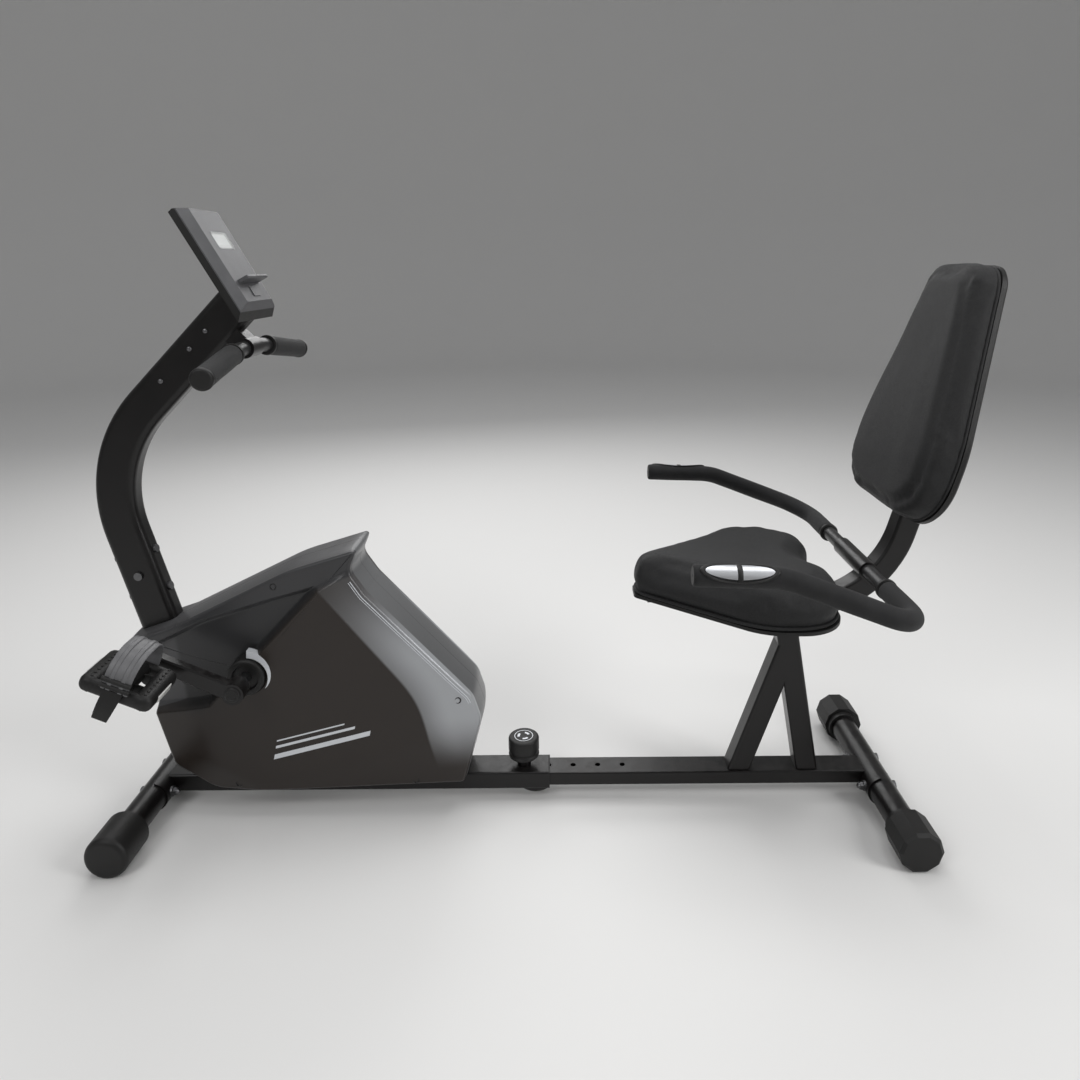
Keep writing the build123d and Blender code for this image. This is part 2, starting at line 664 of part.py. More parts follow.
def mast_stub():
    """Upright welded on the beam, which the mast slips over."""
    path = Line(mast_lower_point(BEAM_TOP - STUB_EXTRA), mast_lower_point(STUB_TOP_Z))
    inset = 2 * (TUBE_WALL + SLEEVE_FIT)
    width = MAST_WIDTH - inset
    depth = MAST_DEPTH - inset
    corner = MAST_CORNER_RADIUS - inset / 2
    stub = swept(path, RectangleRounded(width, depth, corner), (0, 1, 0))
    wall = 2 * TUBE_WALL
    stub -= swept(path, RectangleRounded(width - wall, depth - wall, corner - TUBE_WALL), (0, 1, 0))
    under = block((-FAR, 0), (-FAR, FAR), (-FAR, BEAM_TOP))
    return stub - under - mast_bolt_holes()


def mast():
    """Bent oval upright that carries the console."""
    path = mast_path(MAST_START_Z)
    tube = swept(path, RectangleRounded(MAST_WIDTH, MAST_DEPTH, MAST_CORNER_RADIUS), (0, 1, 0))
    wall = 2 * TUBE_WALL
    bore = RectangleRounded(MAST_WIDTH - wall, MAST_DEPTH - wall, MAST_CORNER_RADIUS - TUBE_WALL)
    tube -= swept(path, bore, (0, 1, 0))
    past_plate = console_box(FAR, FAR, 0, (-CONSOLE_DEPTH - BRACKET_PLATE, FAR))
    return tube - CONSOLE * past_plate - mast_bolt_holes()


def cross_bolt_ends(z, reach):
    """Ends of a bolt that crosses the mast fore and aft, square to it."""
    x, _, _ = mast_lower_point(z)
    along = (cos(radians(MAST_LEAN)) * reach, sin(radians(MAST_LEAN)) * reach)
    return (x - along[0], 0, z - along[1]), (x + along[0], 0, z + along[1])


def side_bolt(radius, half_length):
    """Cylinder across the mast at its side bolt."""
    x, _, z = mast_lower_point(SIDE_BOLT_Z)
    return rod_y(x, z, radius, -half_length, half_length)


def mast_bolt_holes():
    """Clearance for the bolts that hold the mast on its stub."""
    radius = MAST_BOLT_RADIUS + HOLE_FIT
    holes = side_bolt(radius, MAST_WIDTH)
    for z in CROSS_BOLT_Z:
        holes += rod_between(*cross_bolt_ends(z, MAST_DEPTH), radius)
    return holes


def mast_bolts():
    """Bolts with low round heads at both ends."""
    half_width = MAST_WIDTH / 2
    bolts = side_bolt(MAST_BOLT_RADIUS, half_width + MAST_HEAD_HEIGHT)
    heads = side_bolt(MAST_BOLT_HEAD, half_width + MAST_HEAD_HEIGHT)
    bolts += heads - side_bolt(MAST_BOLT_HEAD + OVERCUT, half_width)
    for z in CROSS_BOLT_Z:
        reach = MAST_DEPTH / 2 + MAST_HEAD_HEIGHT
        bolts += rod_between(*cross_bolt_ends(z, reach), MAST_BOLT_RADIUS)
        head = rod_between(*cross_bolt_ends(z, reach), MAST_BOLT_HEAD)
        bolts += head - rod_between(*cross_bolt_ends(z, MAST_DEPTH / 2), MAST_BOLT_HEAD + OVERCUT)
    return bolts


# ---------------------------------------------------------------- console
FACE_NORMAL = Vector(cos(radians(CONSOLE_TILT)), 0, sin(radians(CONSOLE_TILT)))
FACE_UP = Vector(-sin(radians(CONSOLE_TILT)), 0, cos(radians(CONSOLE_TILT)))
FACE_MIDDLE = Vector(MAST_END_X, 0, MAST_END_Z) + FACE_NORMAL * CONSOLE_DEPTH
FACE_MIDDLE -= FACE_UP * CONSOLE_ON_MAST
# local frame of the console: x across, y up the face, z out of the face
CONSOLE = Plane(origin=FACE_MIDDLE, x_dir=(0, 1, 0), z_dir=FACE_NORMAL).location


def console_profile(inset):
    """Side profile as height up the face and depth out of the face."""
    half = CONSOLE_HALF_HEIGHT - inset
    back = inset - CONSOLE_DEPTH
    foot = -half - (CONSOLE_DEPTH - 2 * inset) * CONSOLE_CHIN / CONSOLE_DEPTH
    return [
        (half, -inset), (-half, -inset), (foot, back),
        (half + CONSOLE_BACK_RISE, back), (half + CONSOLE_CREST, back + CONSOLE_CREST_DEPTH),
    ]


def console_body(inset):
    """Whole console body with bevelled sides, or its hollow when inset by the wall."""
    width = CONSOLE_WIDTH - 2 * inset
    side = Plane(origin=(-width / 2, 0, 0), x_dir=(0, 1, 0), z_dir=(1, 0, 0))
    outline = make_face(Polyline(*console_profile(inset), close=True))
    body = extrude(side * outline, amount=width)
    edge = width / 2
    flat = edge - (CONSOLE_WIDTH - CONSOLE_FACE_WIDTH) / 2
    across = Plane(origin=(0, FAR / 2, 0), x_dir=(1, 0, 0), z_dir=(0, -1, 0))
    for sign in (-1, 1):
        wedge = make_face(Polyline(
            (sign * edge, BEVEL_START - CONSOLE_SPLIT), (sign * (edge + OVERCUT), BEVEL_CLEAR),
            (sign * flat, BEVEL_CLEAR), (sign * flat, -inset), close=True,
        ))
        body -= extrude(across * wedge, amount=FAR)
    return body


def console_box(width, height, up, depth_range):
    """Block in the console's own frame."""
    low, high = depth_range
    return Pos(0, up, (low + high) / 2) * Box(width, height, high - low)


def console_bezel():
    """Front bezel with its window, slot, ledge and button hole."""
    front = console_box(FAR, FAR, 0, (-CONSOLE_SPLIT, FAR))
    bezel = (console_body(0) - console_body(CONSOLE_WALL)) & front
    wall = (-CONSOLE_WALL - OVERCUT, OVERCUT)
    rebate = 2 * WINDOW_REBATE
    bezel -= console_box(WINDOW_WIDTH - rebate, WINDOW_HEIGHT - rebate, WINDOW_UP, wall)
    bezel -= console_box(WINDOW_WIDTH, WINDOW_HEIGHT, WINDOW_UP, (-LENS_SEAT, OVERCUT))
    bezel -= console_box(
        BUTTON_WIDTH + 2 * BUTTON_FIT, BUTTON_HEIGHT + 2 * BUTTON_FIT, BUTTON_UP, wall
    )
    ledge = console_box(LEDGE_WIDTH, LEDGE_THICKNESS, LEDGE_UP, (-CONSOLE_WALL, LEDGE_REACH))
    ledge = fillet(ledge.faces().sort_by(Axis.Z)[-1].edges(), LEDGE_ROUNDING)
    groove_up = LEDGE_UP + (LEDGE_THICKNESS - GROOVE_DEPTH) / 2
    groove = console_box(GROOVE_WIDTH, GROOVE_DEPTH + TINY, groove_up, GROOVE_REACH)
    return CONSOLE * (bezel + ledge - groove)


def console_lens():
    """Clear window, seated in the rebate of the bezel."""
    size = (WINDOW_WIDTH, WINDOW_HEIGHT)
    return CONSOLE * console_box(*size, WINDOW_UP, (-LENS_SEAT, LENS_THICKNESS - LENS_SEAT))


def console_back():
    """Back cover with the bosses that carry the board."""
    behind = console_box(FAR, FAR, 0, (-FAR, -CONSOLE_SPLIT))
    cover = (console_body(0) - console_body(CONSOLE_WALL)) & behind
    boss_depth = (CONSOLE_WALL - CONSOLE_DEPTH - BOARD_BOSS_BED, -BOARD_DEPTH - BOARD_THICKNESS)
    off = BOARD_SIZE / 2 - BOARD_BOSS_INSET
    for x in (-1, 1):
        for y in (-1, 1):
            cover += Pos(x * off, y * off, 0) * console_box(BOARD_BOSS, BOARD_BOSS, 0, boss_depth)
    return CONSOLE * cover


def console_board():
    """Circuit board with the display module on it."""
    board = console_box(BOARD_SIZE, BOARD_SIZE, 0, (-BOARD_DEPTH - BOARD_THICKNESS, -BOARD_DEPTH))
    display = (WINDOW_WIDTH + 2 * DISPLAY_BORDER, WINDOW_HEIGHT + 2 * DISPLAY_BORDER)
    board += console_box(*display, WINDOW_UP, (-BOARD_DEPTH, -CONSOLE_WALL - DISPLAY_GAP))
    return CONSOLE * board


def mode_button():
    """Push button with a flange that keeps it behind the bezel."""
    flange_top = -CONSOLE_WALL - BUTTON_PLAY
    button = console_box(BUTTON_WIDTH, BUTTON_HEIGHT, BUTTON_UP, (flange_top, BUTTON_PROUD))
    button += console_box(
        BUTTON_WIDTH + 2 * FLANGE_SIDE, BUTTON_HEIGHT + 2 * FLANGE_END, BUTTON_UP,
        (flange_top - FLANGE_THICKNESS, flange_top),
    )
    return CONSOLE * button


def console_bracket():
    """Plate between the mast and the back cover, with a tongue down the mast."""
    plate_depth = (-CONSOLE_DEPTH - BRACKET_PLATE, -CONSOLE_DEPTH)
    plate = CONSOLE * console_box(*BRACKET_SIZE, CONSOLE_ON_MAST, plate_depth)
    tongue_x = MAST_END_X - TONGUE_LENGTH * cos(radians(MAST_RISE))
    tongue_z = MAST_END_Z - TONGUE_LENGTH * sin(radians(MAST_RISE))
    tongue = swept(
        Line((tongue_x, 0, tongue_z), (MAST_END_X, 0, MAST_END_Z)),
        RectangleRounded(*TONGUE_SIZE, TONGUE_CORNER), (0, 1, 0),
    )
    beyond = CONSOLE * console_box(FAR, FAR, 0, (-CONSOLE_DEPTH - BRACKET_PLATE, FAR))
    return plate + (tongue - beyond)


# ---------------------------------------------------------------- front hand bar
MAST_ALONG = Vector(cos(radians(MAST_RISE)), 0, sin(radians(MAST_RISE)))
MAST_UNDER = Vector(sin(radians(MAST_RISE)), 0, -cos(radians(MAST_RISE)))
BAR_MIDDLE = Vector(MAST_END_X, 0, MAST_END_Z) - MAST_ALONG * HAND_BAR_STATION
BAR_MIDDLE += MAST_UNDER * HAND_BAR_DROP


def hand_bar_point(y):
    """Point of the front hand bar's centre line."""
    beyond = max(0.0, abs(y) - HAND_BAR_BEND_Y) / (HAND_BAR_SPAN / 2 - HAND_BAR_BEND_Y)
    return (BAR_MIDDLE.X + HAND_BAR_SWEEP * beyond, y, BAR_MIDDLE.Z - HAND_BAR_SAG * beyond)


def hand_bar():
    """Front bar, straight across the mast and dropping towards its ends."""
    half = HAND_BAR_SPAN / 2 - HAND_CAP_LENGTH
    stations = (-half, -HAND_BAR_BEND_Y, HAND_BAR_BEND_Y, half)
    path = FilletPolyline(*[hand_bar_point(y) for y in stations], radius=HAND_BAR_BEND)
    tube = swept(path, Circle(BAR_RADIUS), (1, 0, 0))
    return tube - swept(path, Circle(BAR_RADIUS - TUBE_WALL), (1, 0, 0))


def hand_bar_sleeve(y_low, y_high, inner, outer):
    """Ring over the sloping part of the bar on the right."""
    start = hand_bar_point(y_low)
    end = hand_bar_point(y_high)
    return rod_between(start, end, outer) - rod_between(start, end, inner)


def hand_grips():
    """Foam grips over both ends of the bar."""
    end = HAND_BAR_SPAN / 2 - HAND_CAP_LENGTH
    grip = hand_bar_sleeve(HAND_GRIP_START_Y, end, BAR_RADIUS + FOAM_FIT, HAND_GRIP_RADIUS)
    return both_sides(grip)


def hand_bar_caps():
    """Plastic plugs that close both ends of the bar."""
    start = hand_bar_point(HAND_BAR_SPAN / 2 - HAND_CAP_LENGTH)
    end = hand_bar_point(HAND_BAR_SPAN / 2)
    inside = hand_bar_point(HAND_BAR_SPAN / 2 - HAND_CAP_LENGTH - HAND_PLUG_LENGTH)
    cap = rod_between(start, end, HAND_CAP_RADIUS)
    cap = fillet(cap.faces().sort_by(Axis.Y)[-1].edges(), HAND_CAP_ROUNDING)
    cap += rod_between(inside, start, BAR_RADIUS - TUBE_WALL)
    return both_sides(cap)


def hand_bar_clamp():
    """Block under the mast that holds the hand bar."""
    length = HAND_BAR_DROP - MAST_DEPTH / 2 + CLAMP_BED
    saddle_radius = BAR_RADIUS + CLAMP_WALL
    clamp = rod_y(BAR_MIDDLE.X, BAR_MIDDLE.Z, saddle_radius, -CLAMP_HALF_LENGTH, CLAMP_HALF_LENGTH)
    frame = Plane(origin=BAR_MIDDLE, x_dir=(0, 1, 0), z_dir=-MAST_UNDER).location
    clamp += frame * Pos(0, 0, length / 2) * Box(*CLAMP_BLOCK, length)
    clamp -= rod_y(BAR_MIDDLE.X, BAR_MIDDLE.Z, BAR_RADIUS, -FAR, FAR)
    return clamp - swept(
        mast_path(MAST_START_Z), RectangleRounded(MAST_WIDTH, MAST_DEPTH, MAST_CORNER_RADIUS), (0, 1, 0)
    )


# ---------------------------------------------------------------- drive
def bottom_bracket():
    """Bearing shell on its post, with the idler's pivot pin on a gusset."""
    shell = rod_y(CRANK_X, CRANK_Z, BRACKET_RADIUS, -BRACKET_HALF_LENGTH, BRACKET_HALF_LENGTH)
    post = block(
        (CRANK_X - POST_DEPTH / 2, CRANK_X + POST_DEPTH / 2),
        (-POST_WIDTH / 2, POST_WIDTH / 2), (BEAM_TOP, CRANK_Z),
    )
    post -= block(
        (CRANK_X - POST_DEPTH / 2 + TUBE_WALL, CRANK_X + POST_DEPTH / 2 - TUBE_WALL),
        (-POST_WIDTH / 2 + TUBE_WALL, POST_WIDTH / 2 - TUBE_WALL), (BEAM_TOP - OVERCUT, CRANK_Z),
    )
    gusset_start = CRANK_X + POST_DEPTH / 2
    gusset = make_face(Polyline(
        (gusset_start, BEAM_TOP), (gusset_start, IDLER_PIVOT_Z + GUSSET_RISE),
        (IDLER_PIVOT_X + GUSSET_EDGE, IDLER_PIVOT_Z + GUSSET_EDGE),
        (IDLER_PIVOT_X + GUSSET_EDGE, BEAM_TOP), close=True,
    ))
    gusset_y = POST_WIDTH / 2
    bracket = shell + post + side_prism(gusset, gusset_y - 2 * MOUNT_PLATE, gusset_y)
    bracket -= rod_y(CRANK_X, CRANK_Z, BRACKET_BORE, -BRACKET_HALF_LENGTH, BRACKET_HALF_LENGTH)
    pin_end = IDLER_ARM_Y + IDLER_ARM_THICKNESS + PIN_TIP
    return bracket + rod_y(IDLER_PIVOT_X, IDLER_PIVOT_Z, IDLER_PIN_RADIUS, gusset_y - MOUNT_PLATE, pin_end)


def crank_bearings():
    """Two ball bearings, each drawn as one ring."""
    bearing = rod_y(
        CRANK_X, CRANK_Z, BRACKET_BORE,
        BRACKET_HALF_LENGTH - BEARING_WIDTH, BRACKET_HALF_LENGTH,
    )
    bearing -= rod_y(CRANK_X, CRANK_Z, CRANK_AXLE_RADIUS + RUNNING_FIT, 0, 2 * BRACKET_HALF_LENGTH)
    return both_sides(bearing)


def drive_pulley():
    """Large pulley on the crank axle, webbed and lightened."""
    low = PULLEY_Y
    high = PULLEY_Y + PULLEY_WIDTH
    inner_radius = PULLEY_RADIUS - PULLEY_RIM
    pulley = rod_y(CRANK_X, CRANK_Z, PULLEY_RADIUS, low, high)
    pulley -= rod_y(CRANK_X, CRANK_Z, inner_radius, low, high)
    pulley += rod_y(CRANK_X, CRANK_Z, inner_radius + OVERCUT, low, low + PULLEY_WEB)
    pulley += rod_y(CRANK_X, CRANK_Z, PULLEY_HUB_RADIUS, low, high)
    window_orbit = (PULLEY_HUB_RADIUS + inner_radius) / 2
    for turn in range(PULLEY_WINDOWS):
        angle = radians(360 * turn / PULLEY_WINDOWS)
        x = CRANK_X + window_orbit * cos(angle)
        z = CRANK_Z + window_orbit * sin(angle)
        pulley -= rod_y(x, z, PULLEY_WINDOW_RADIUS, low - OVERCUT, high + OVERCUT)
    return pulley - rod_y(CRANK_X, CRANK_Z, CRANK_AXLE_RADIUS, low - OVERCUT, high + OVERCUT)


def pulley_loop(extra, y_low, y_high):
    """Solid filling the loop round both pulleys, at a distance off them."""
    big = Pos(CRANK_X, CRANK_Z) * Circle(PULLEY_RADIUS + extra)
    small = Pos(FLYWHEEL_X, FLYWHEEL_Z) * Circle(SMALL_PULLEY_RADIUS + extra)
    return side_prism(make_hull(big.edges() + small.edges()), y_low, y_high)


def drive_belt():
    """Belt round the two pulleys."""
    low = PULLEY_Y + (PULLEY_WIDTH - BELT_WIDTH) / 2
    high = low + BELT_WIDTH
    outer = pulley_loop(BELT_FIT + BELT_THICKNESS, low, high)
    return outer - pulley_loop(BELT_FIT, low - OVERCUT, high + OVERCUT)


def flywheel():
    """Steel flywheel with a heavy rim and a hub out to the small pulley."""
    disc = rod_y(FLYWHEEL_X, FLYWHEEL_Z, FLYWHEEL_RADIUS, -FLYWHEEL_HALF_WIDTH, FLYWHEEL_HALF_WIDTH)
    pocket_radius = FLYWHEEL_RADIUS - FLYWHEEL_RIM
    web = FLYWHEEL_WEB / 2
    for low, high in ((-FLYWHEEL_HALF_WIDTH, -web), (web, FLYWHEEL_HALF_WIDTH)):
        pocket = rod_y(FLYWHEEL_X, FLYWHEEL_Z, pocket_radius, low, high)
        disc -= pocket - rod_y(FLYWHEEL_X, FLYWHEEL_Z, FLYWHEEL_HUB_RADIUS, low, high)
    disc += rod_y(FLYWHEEL_X, FLYWHEEL_Z, NECK_RADIUS, FLYWHEEL_HALF_WIDTH, PULLEY_Y)
    bore = FLYWHEEL_AXLE_RADIUS + RUNNING_FIT
    return disc - rod_y(FLYWHEEL_X, FLYWHEEL_Z, bore, -FAR, FAR)


def flywheel_pulley():
    """Small pulley fixed to the flywheel's hub."""
    pulley = rod_y(FLYWHEEL_X, FLYWHEEL_Z, SMALL_PULLEY_RADIUS, PULLEY_Y, PULLEY_Y + PULLEY_WIDTH)
    bore = FLYWHEEL_AXLE_RADIUS + RUNNING_FIT
    return pulley - rod_y(FLYWHEEL_X, FLYWHEEL_Z, bore, -FAR, FAR)


def flywheel_axle():
    """Fixed axle with its two end nuts."""
    left = MOUNT_LEFT_Y
    right = MOUNT_RIGHT_Y + MOUNT_PLATE
    ends = (left - AXLE_NUT_HEIGHT - AXLE_TIP, right + AXLE_THIN_NUT_HEIGHT + AXLE_TIP)
    axle = rod_y(FLYWHEEL_X, FLYWHEEL_Z, FLYWHEEL_AXLE_RADIUS, *ends)
    axle += rod_y(FLYWHEEL_X, FLYWHEEL_Z, AXLE_NUT_RADIUS, left - AXLE_NUT_HEIGHT, left)
    thin_nut = (right, right + AXLE_THIN_NUT_HEIGHT)
    return axle + rod_y(FLYWHEEL_X, FLYWHEEL_Z, AXLE_NUT_RADIUS, *thin_nut)


def flywheel_mount():
    """Two uprights on a foot across the beam, with the magnet bracket's pivot pin."""
    x_range = (FLYWHEEL_X - MOUNT_HALF_LENGTH, FLYWHEEL_X + MOUNT_HALF_LENGTH)
    right = MOUNT_RIGHT_Y + MOUNT_PLATE
    mount = block(x_range, (MOUNT_LEFT_Y, right), (BEAM_TOP, BEAM_TOP + MOUNT_PLATE))
    upright = make_face(Polyline(
        (x_range[0], BEAM_TOP), (FLYWHEEL_X - MOUNT_HEAD, FLYWHEEL_Z + MOUNT_HEAD),
        (FLYWHEEL_X + MOUNT_HEAD, FLYWHEEL_Z + MOUNT_HEAD), (x_range[1], BEAM_TOP), close=True,
    ))
    mount += side_prism(upright, MOUNT_LEFT_Y, MOUNT_LEFT_Y + MOUNT_PLATE)
    mount += side_prism(upright, MOUNT_RIGHT_Y, right)
    pin_x, pin_z = magnet_point(MAGNET_PIVOT_ANGLE, magnet_middle())
    pin_low = MOUNT_LEFT_Y + MOUNT_PLATE / 2
    pin_high = FLYWHEEL_HALF_WIDTH + MAGNET_SIDE_GAP + PIN_TIP
    mount += rod_y(pin_x, pin_z, IDLER_PIN_RADIUS, pin_low, pin_high)
    return mount - rod_y(FLYWHEEL_X, FLYWHEEL_Z, FLYWHEEL_AXLE_RADIUS, -FAR, FAR)


def magnet_middle():
    """Radius of the middle of the magnet bracket's band."""
    return FLYWHEEL_RADIUS + MAGNET_GAP + MAGNET_THICKNESS


def magnet_point(angle, radius):
    """Point at an angle and radius round the flywheel's axis."""
    turn = radians(angle)
    return FLYWHEEL_X + radius * cos(turn), FLYWHEEL_Z + radius * sin(turn)


def magnet_bracket():
    """Curved bracket with magnets on its inner face, hinged at its lower end."""
    inner = FLYWHEEL_RADIUS + MAGNET_GAP
    outer = inner + 2 * MAGNET_THICKNESS
    half = FLYWHEEL_HALF_WIDTH + MAGNET_SIDE_GAP
    ring = rod_y(FLYWHEEL_X, FLYWHEEL_Z, inner + MAGNET_BAND, -half, half)
    ring -= rod_y(FLYWHEEL_X, FLYWHEEL_Z, inner, -half, half)
    far = 2 * outer
    wedge = make_face(Polyline(
        (FLYWHEEL_X, FLYWHEEL_Z), magnet_point(MAGNET_PIVOT_ANGLE, far),
        magnet_point((MAGNET_PIVOT_ANGLE + MAGNET_END_ANGLE) / 2, far),
        magnet_point(MAGNET_END_ANGLE, far), close=True,
    ))
    bracket = ring & side_prism(wedge, -half, half)
    pin_x, pin_z = magnet_point(MAGNET_PIVOT_ANGLE, magnet_middle())
    bracket += rod_y(pin_x, pin_z, IDLER_PIN_RADIUS + MAGNET_EYE_WALL, -half, half)
    bracket -= rod_y(FLYWHEEL_X, FLYWHEEL_Z, inner, -half, half)
    return bracket - rod_y(pin_x, pin_z, IDLER_PIN_RADIUS + RUNNING_FIT, -half, half)


def servo_unit():
    """Small gear motor that pulls the magnet bracket."""
    case = block(SERVO_X, SERVO_Y, (BEAM_TOP, BEAM_TOP + SERVO_HEIGHT))
    case = fillet(case.edges().filter_by(Axis.Z), SERVO_ROUNDING)
    middle_x = sum(SERVO_X) / 2
    middle_y = sum(SERVO_Y) / 2
    top = BEAM_TOP + SERVO_HEIGHT
    return case + rod_z(middle_x, middle_y, SERVO_HUB_RADIUS, top, top + SERVO_HUB_HEIGHT)


def idler_centre():
    """Axis of the idler roller, on the back of the belt's lower run."""
    run_angle = atan2(FLYWHEEL_Z - CRANK_Z, FLYWHEEL_X - CRANK_X)
    centres = sqrt((FLYWHEEL_X - CRANK_X) ** 2 + (FLYWHEEL_Z - CRANK_Z) ** 2)
    spread = (PULLEY_RADIUS - SMALL_PULLEY_RADIUS) / centres
    normal = run_angle - atan2(sqrt(1 - spread ** 2), spread)
    off = (PULLEY_RADIUS + SMALL_PULLEY_RADIUS) / 2
    off += 2 * BELT_FIT + BELT_THICKNESS + IDLER_RADIUS
    middle_x = (CRANK_X + FLYWHEEL_X) / 2
    middle_z = (CRANK_Z + FLYWHEEL_Z) / 2
    return middle_x + off * cos(normal), middle_z + off * sin(normal)


def idler_arm():
    """Arm from the pivot pin to the roller, with the roller's pin."""
    roller_x, roller_z = idler_centre()
    low = IDLER_ARM_Y
    high = IDLER_ARM_Y + IDLER_ARM_THICKNESS
    ends = Pos(IDLER_PIVOT_X, IDLER_PIVOT_Z) * Circle(IDLER_EYE_RADIUS)
    roller_end = Pos(roller_x, roller_z) * Circle(IDLER_EYE_RADIUS)
    arm = side_prism(make_hull(ends.edges() + roller_end.edges()), low, high)
    arm -= rod_y(IDLER_PIVOT_X, IDLER_PIVOT_Z, IDLER_PIN_RADIUS + RUNNING_FIT, -FAR, FAR)
    pin_end = PULLEY_Y + PULLEY_WIDTH + PIN_TIP
    return arm + rod_y(roller_x, roller_z, IDLER_PIN_RADIUS, high - OVERCUT, pin_end)


def idler_roller():
    """Flat roller that presses on the belt."""
    roller_x, roller_z = idler_centre()
    low = PULLEY_Y
    high = PULLEY_Y + PULLEY_WIDTH
    roller = rod_y(roller_x, roller_z, IDLER_RADIUS, low, high)
    return roller - rod_y(roller_x, roller_z, IDLER_PIN_RADIUS + RUNNING_FIT, -FAR, FAR)


# ---------------------------------------------------------------- cranks and pedals
def crank_end(side):
    """X and Z of the pedal spindle; side is -1 for the left, +1 for the right."""
    angle = radians(CRANK_ANGLE + (0 if side < 0 else 180))
    return CRANK_X + CRANK_LENGTH * cos(angle), CRANK_Z + CRANK_LENGTH * sin(angle)


def crank_axle():
    """Axle through the bearings, the pulley and both arms."""
    return rod_y(CRANK_X, CRANK_Z, CRANK_AXLE_RADIUS, -AXLE_END_Y, AXLE_END_Y)


def crank_arm(side):
    """Tapered arm with a boss on the axle and an eye for the pedal."""
    end_x, end_z = crank_end(side)
    y_range = sorted((side * ARM_INNER_Y, side * ARM_OUTER_Y))
    boss_range = sorted((side * ARM_BOSS_INNER_Y, side * ARM_OUTER_Y))
    hub = Pos(CRANK_X, CRANK_Z) * Circle(ARM_BOSS_RADIUS - ARM_BOSS_PROUD)
    eye = Pos(end_x, end_z) * Circle(ARM_EYE_RADIUS - ARM_EYE_PROUD)
    arm = side_prism(make_hull(hub.edges() + eye.edges()), *y_range)
    arm = chamfer(arm.faces().sort_by(Axis.Y)[0 if side < 0 else -1].edges(), ARM_CHAMFER)
    arm += rod_y(CRANK_X, CRANK_Z, ARM_BOSS_RADIUS, *boss_range)
    arm += rod_y(end_x, end_z, ARM_EYE_RADIUS, *y_range)
    arm -= rod_y(CRANK_X, CRANK_Z, CRANK_AXLE_RADIUS, *sorted((0, side * AXLE_END_Y)))
    return arm - rod_y(end_x, end_z, SPINDLE_RADIUS, *sorted((0, side * (ARM_OUTER_Y + OVERCUT))))


def pedal_spindles():
    """Steel spindles screwed into both arms."""
    spindles = Part()
    for side in (-1, 1):
        end_x, end_z = crank_end(side)
        spindles += rod_y(end_x, end_z, SPINDLE_RADIUS, *sorted((side * ARM_INNER_Y, side * SPINDLE_END_Y)))
        collar = sorted((side * ARM_OUTER_Y, side * (ARM_OUTER_Y + SPINDLE_COLLAR)))
        spindles += rod_y(end_x, end_z, SPINDLE_RADIUS + SPINDLE_SHOULDER, *collar)
    return spindles


def pedal_frame(side):
    """Location of a pedal's own frame: x along its length, y across, z up from the tread."""
    end_x, end_z = crank_end(side)
    return Pos(end_x, side * PEDAL_Y, end_z) * Rot(0, PEDAL_TILT, 0)


def pedal(side):
    """Open platform: two rails and end bars round a core that runs on the spindle."""
    body = Box(PEDAL_LENGTH, PEDAL_WIDTH, PEDAL_THICKNESS)
    body = fillet(body.edges().filter_by(Axis.Z), PEDAL_CORNER)
    gap = (PEDAL_LENGTH - PEDAL_CORE) / 2 - PEDAL_RAIL
    for sign in (-1, 1):
        middle = sign * (PEDAL_CORE + gap) / 2
        body -= Pos(middle, 0, 0) * Box(gap, PEDAL_WIDTH - 2 * PEDAL_RAIL, 2 * PEDAL_THICKNESS)
    bore = Rot(90, 0, 0) * Cylinder(SPINDLE_RADIUS + PEDAL_FIT, 2 * PEDAL_WIDTH)
    return pedal_frame(side) * (body - bore)


def toe_strap(side):
    """Band from one side of the pedal over the foot to the other."""
    half = PEDAL_WIDTH / 2
    top = STRAP_HEIGHT
    outer = rounded_face([
        (-half - STRAP_THICKNESS, STRAP_FOOT, 0), (half + STRAP_THICKNESS, STRAP_FOOT, 0),
        (half + STRAP_THICKNESS, top, STRAP_ROUNDING), (-half - STRAP_THICKNESS, top, STRAP_ROUNDING),
    ])
    inner_rounding = STRAP_ROUNDING - STRAP_THICKNESS
    inner = rounded_face([
        (-half, STRAP_FOOT - OVERCUT, 0), (half, STRAP_FOOT - OVERCUT, 0),
        (half, top - STRAP_THICKNESS, inner_rounding), (-half, top - STRAP_THICKNESS, inner_rounding),
    ])
    start = Plane(origin=(-STRAP_WIDTH / 2, 0, 0), x_dir=(0, 1, 0), z_dir=(1, 0, 0))
    return pedal_frame(side) * extrude(start * (outer - inner), amount=STRAP_WIDTH)


# ---------------------------------------------------------------- shroud
def shroud_body(inset):
    """Shroud's solid form, or its hollow when inset by the wall."""
    half = SHROUD_HALF_WIDTH - inset
    outline = rounded_face(SHROUD_OUTLINE)
    shoulder = make_face(Polyline(*SHOULDER_OUTLINE, close=True))
    panel = make_face(Polyline(*PANEL_OUTLINE, close=True))
    if inset:
        outline = offset(outline, -inset, kind=Kind.INTERSECTION)
        shoulder = offset(shoulder, -inset, kind=Kind.INTERSECTION)
        panel = offset(panel, -inset, kind=Kind.INTERSECTION)
    body = side_prism(outline, -half, half)
    low = Plane(origin=(0, -half, 0), x_dir=(1, 0, 0), z_dir=(0, -1, 0))
    high = Plane(origin=(0, -PANEL_HALF_WIDTH + inset, 0), x_dir=(1, 0, 0), z_dir=(0, -1, 0))
    rise = loft([low * shoulder, high * panel], ruled=True)
    return body + both_sides(rise)


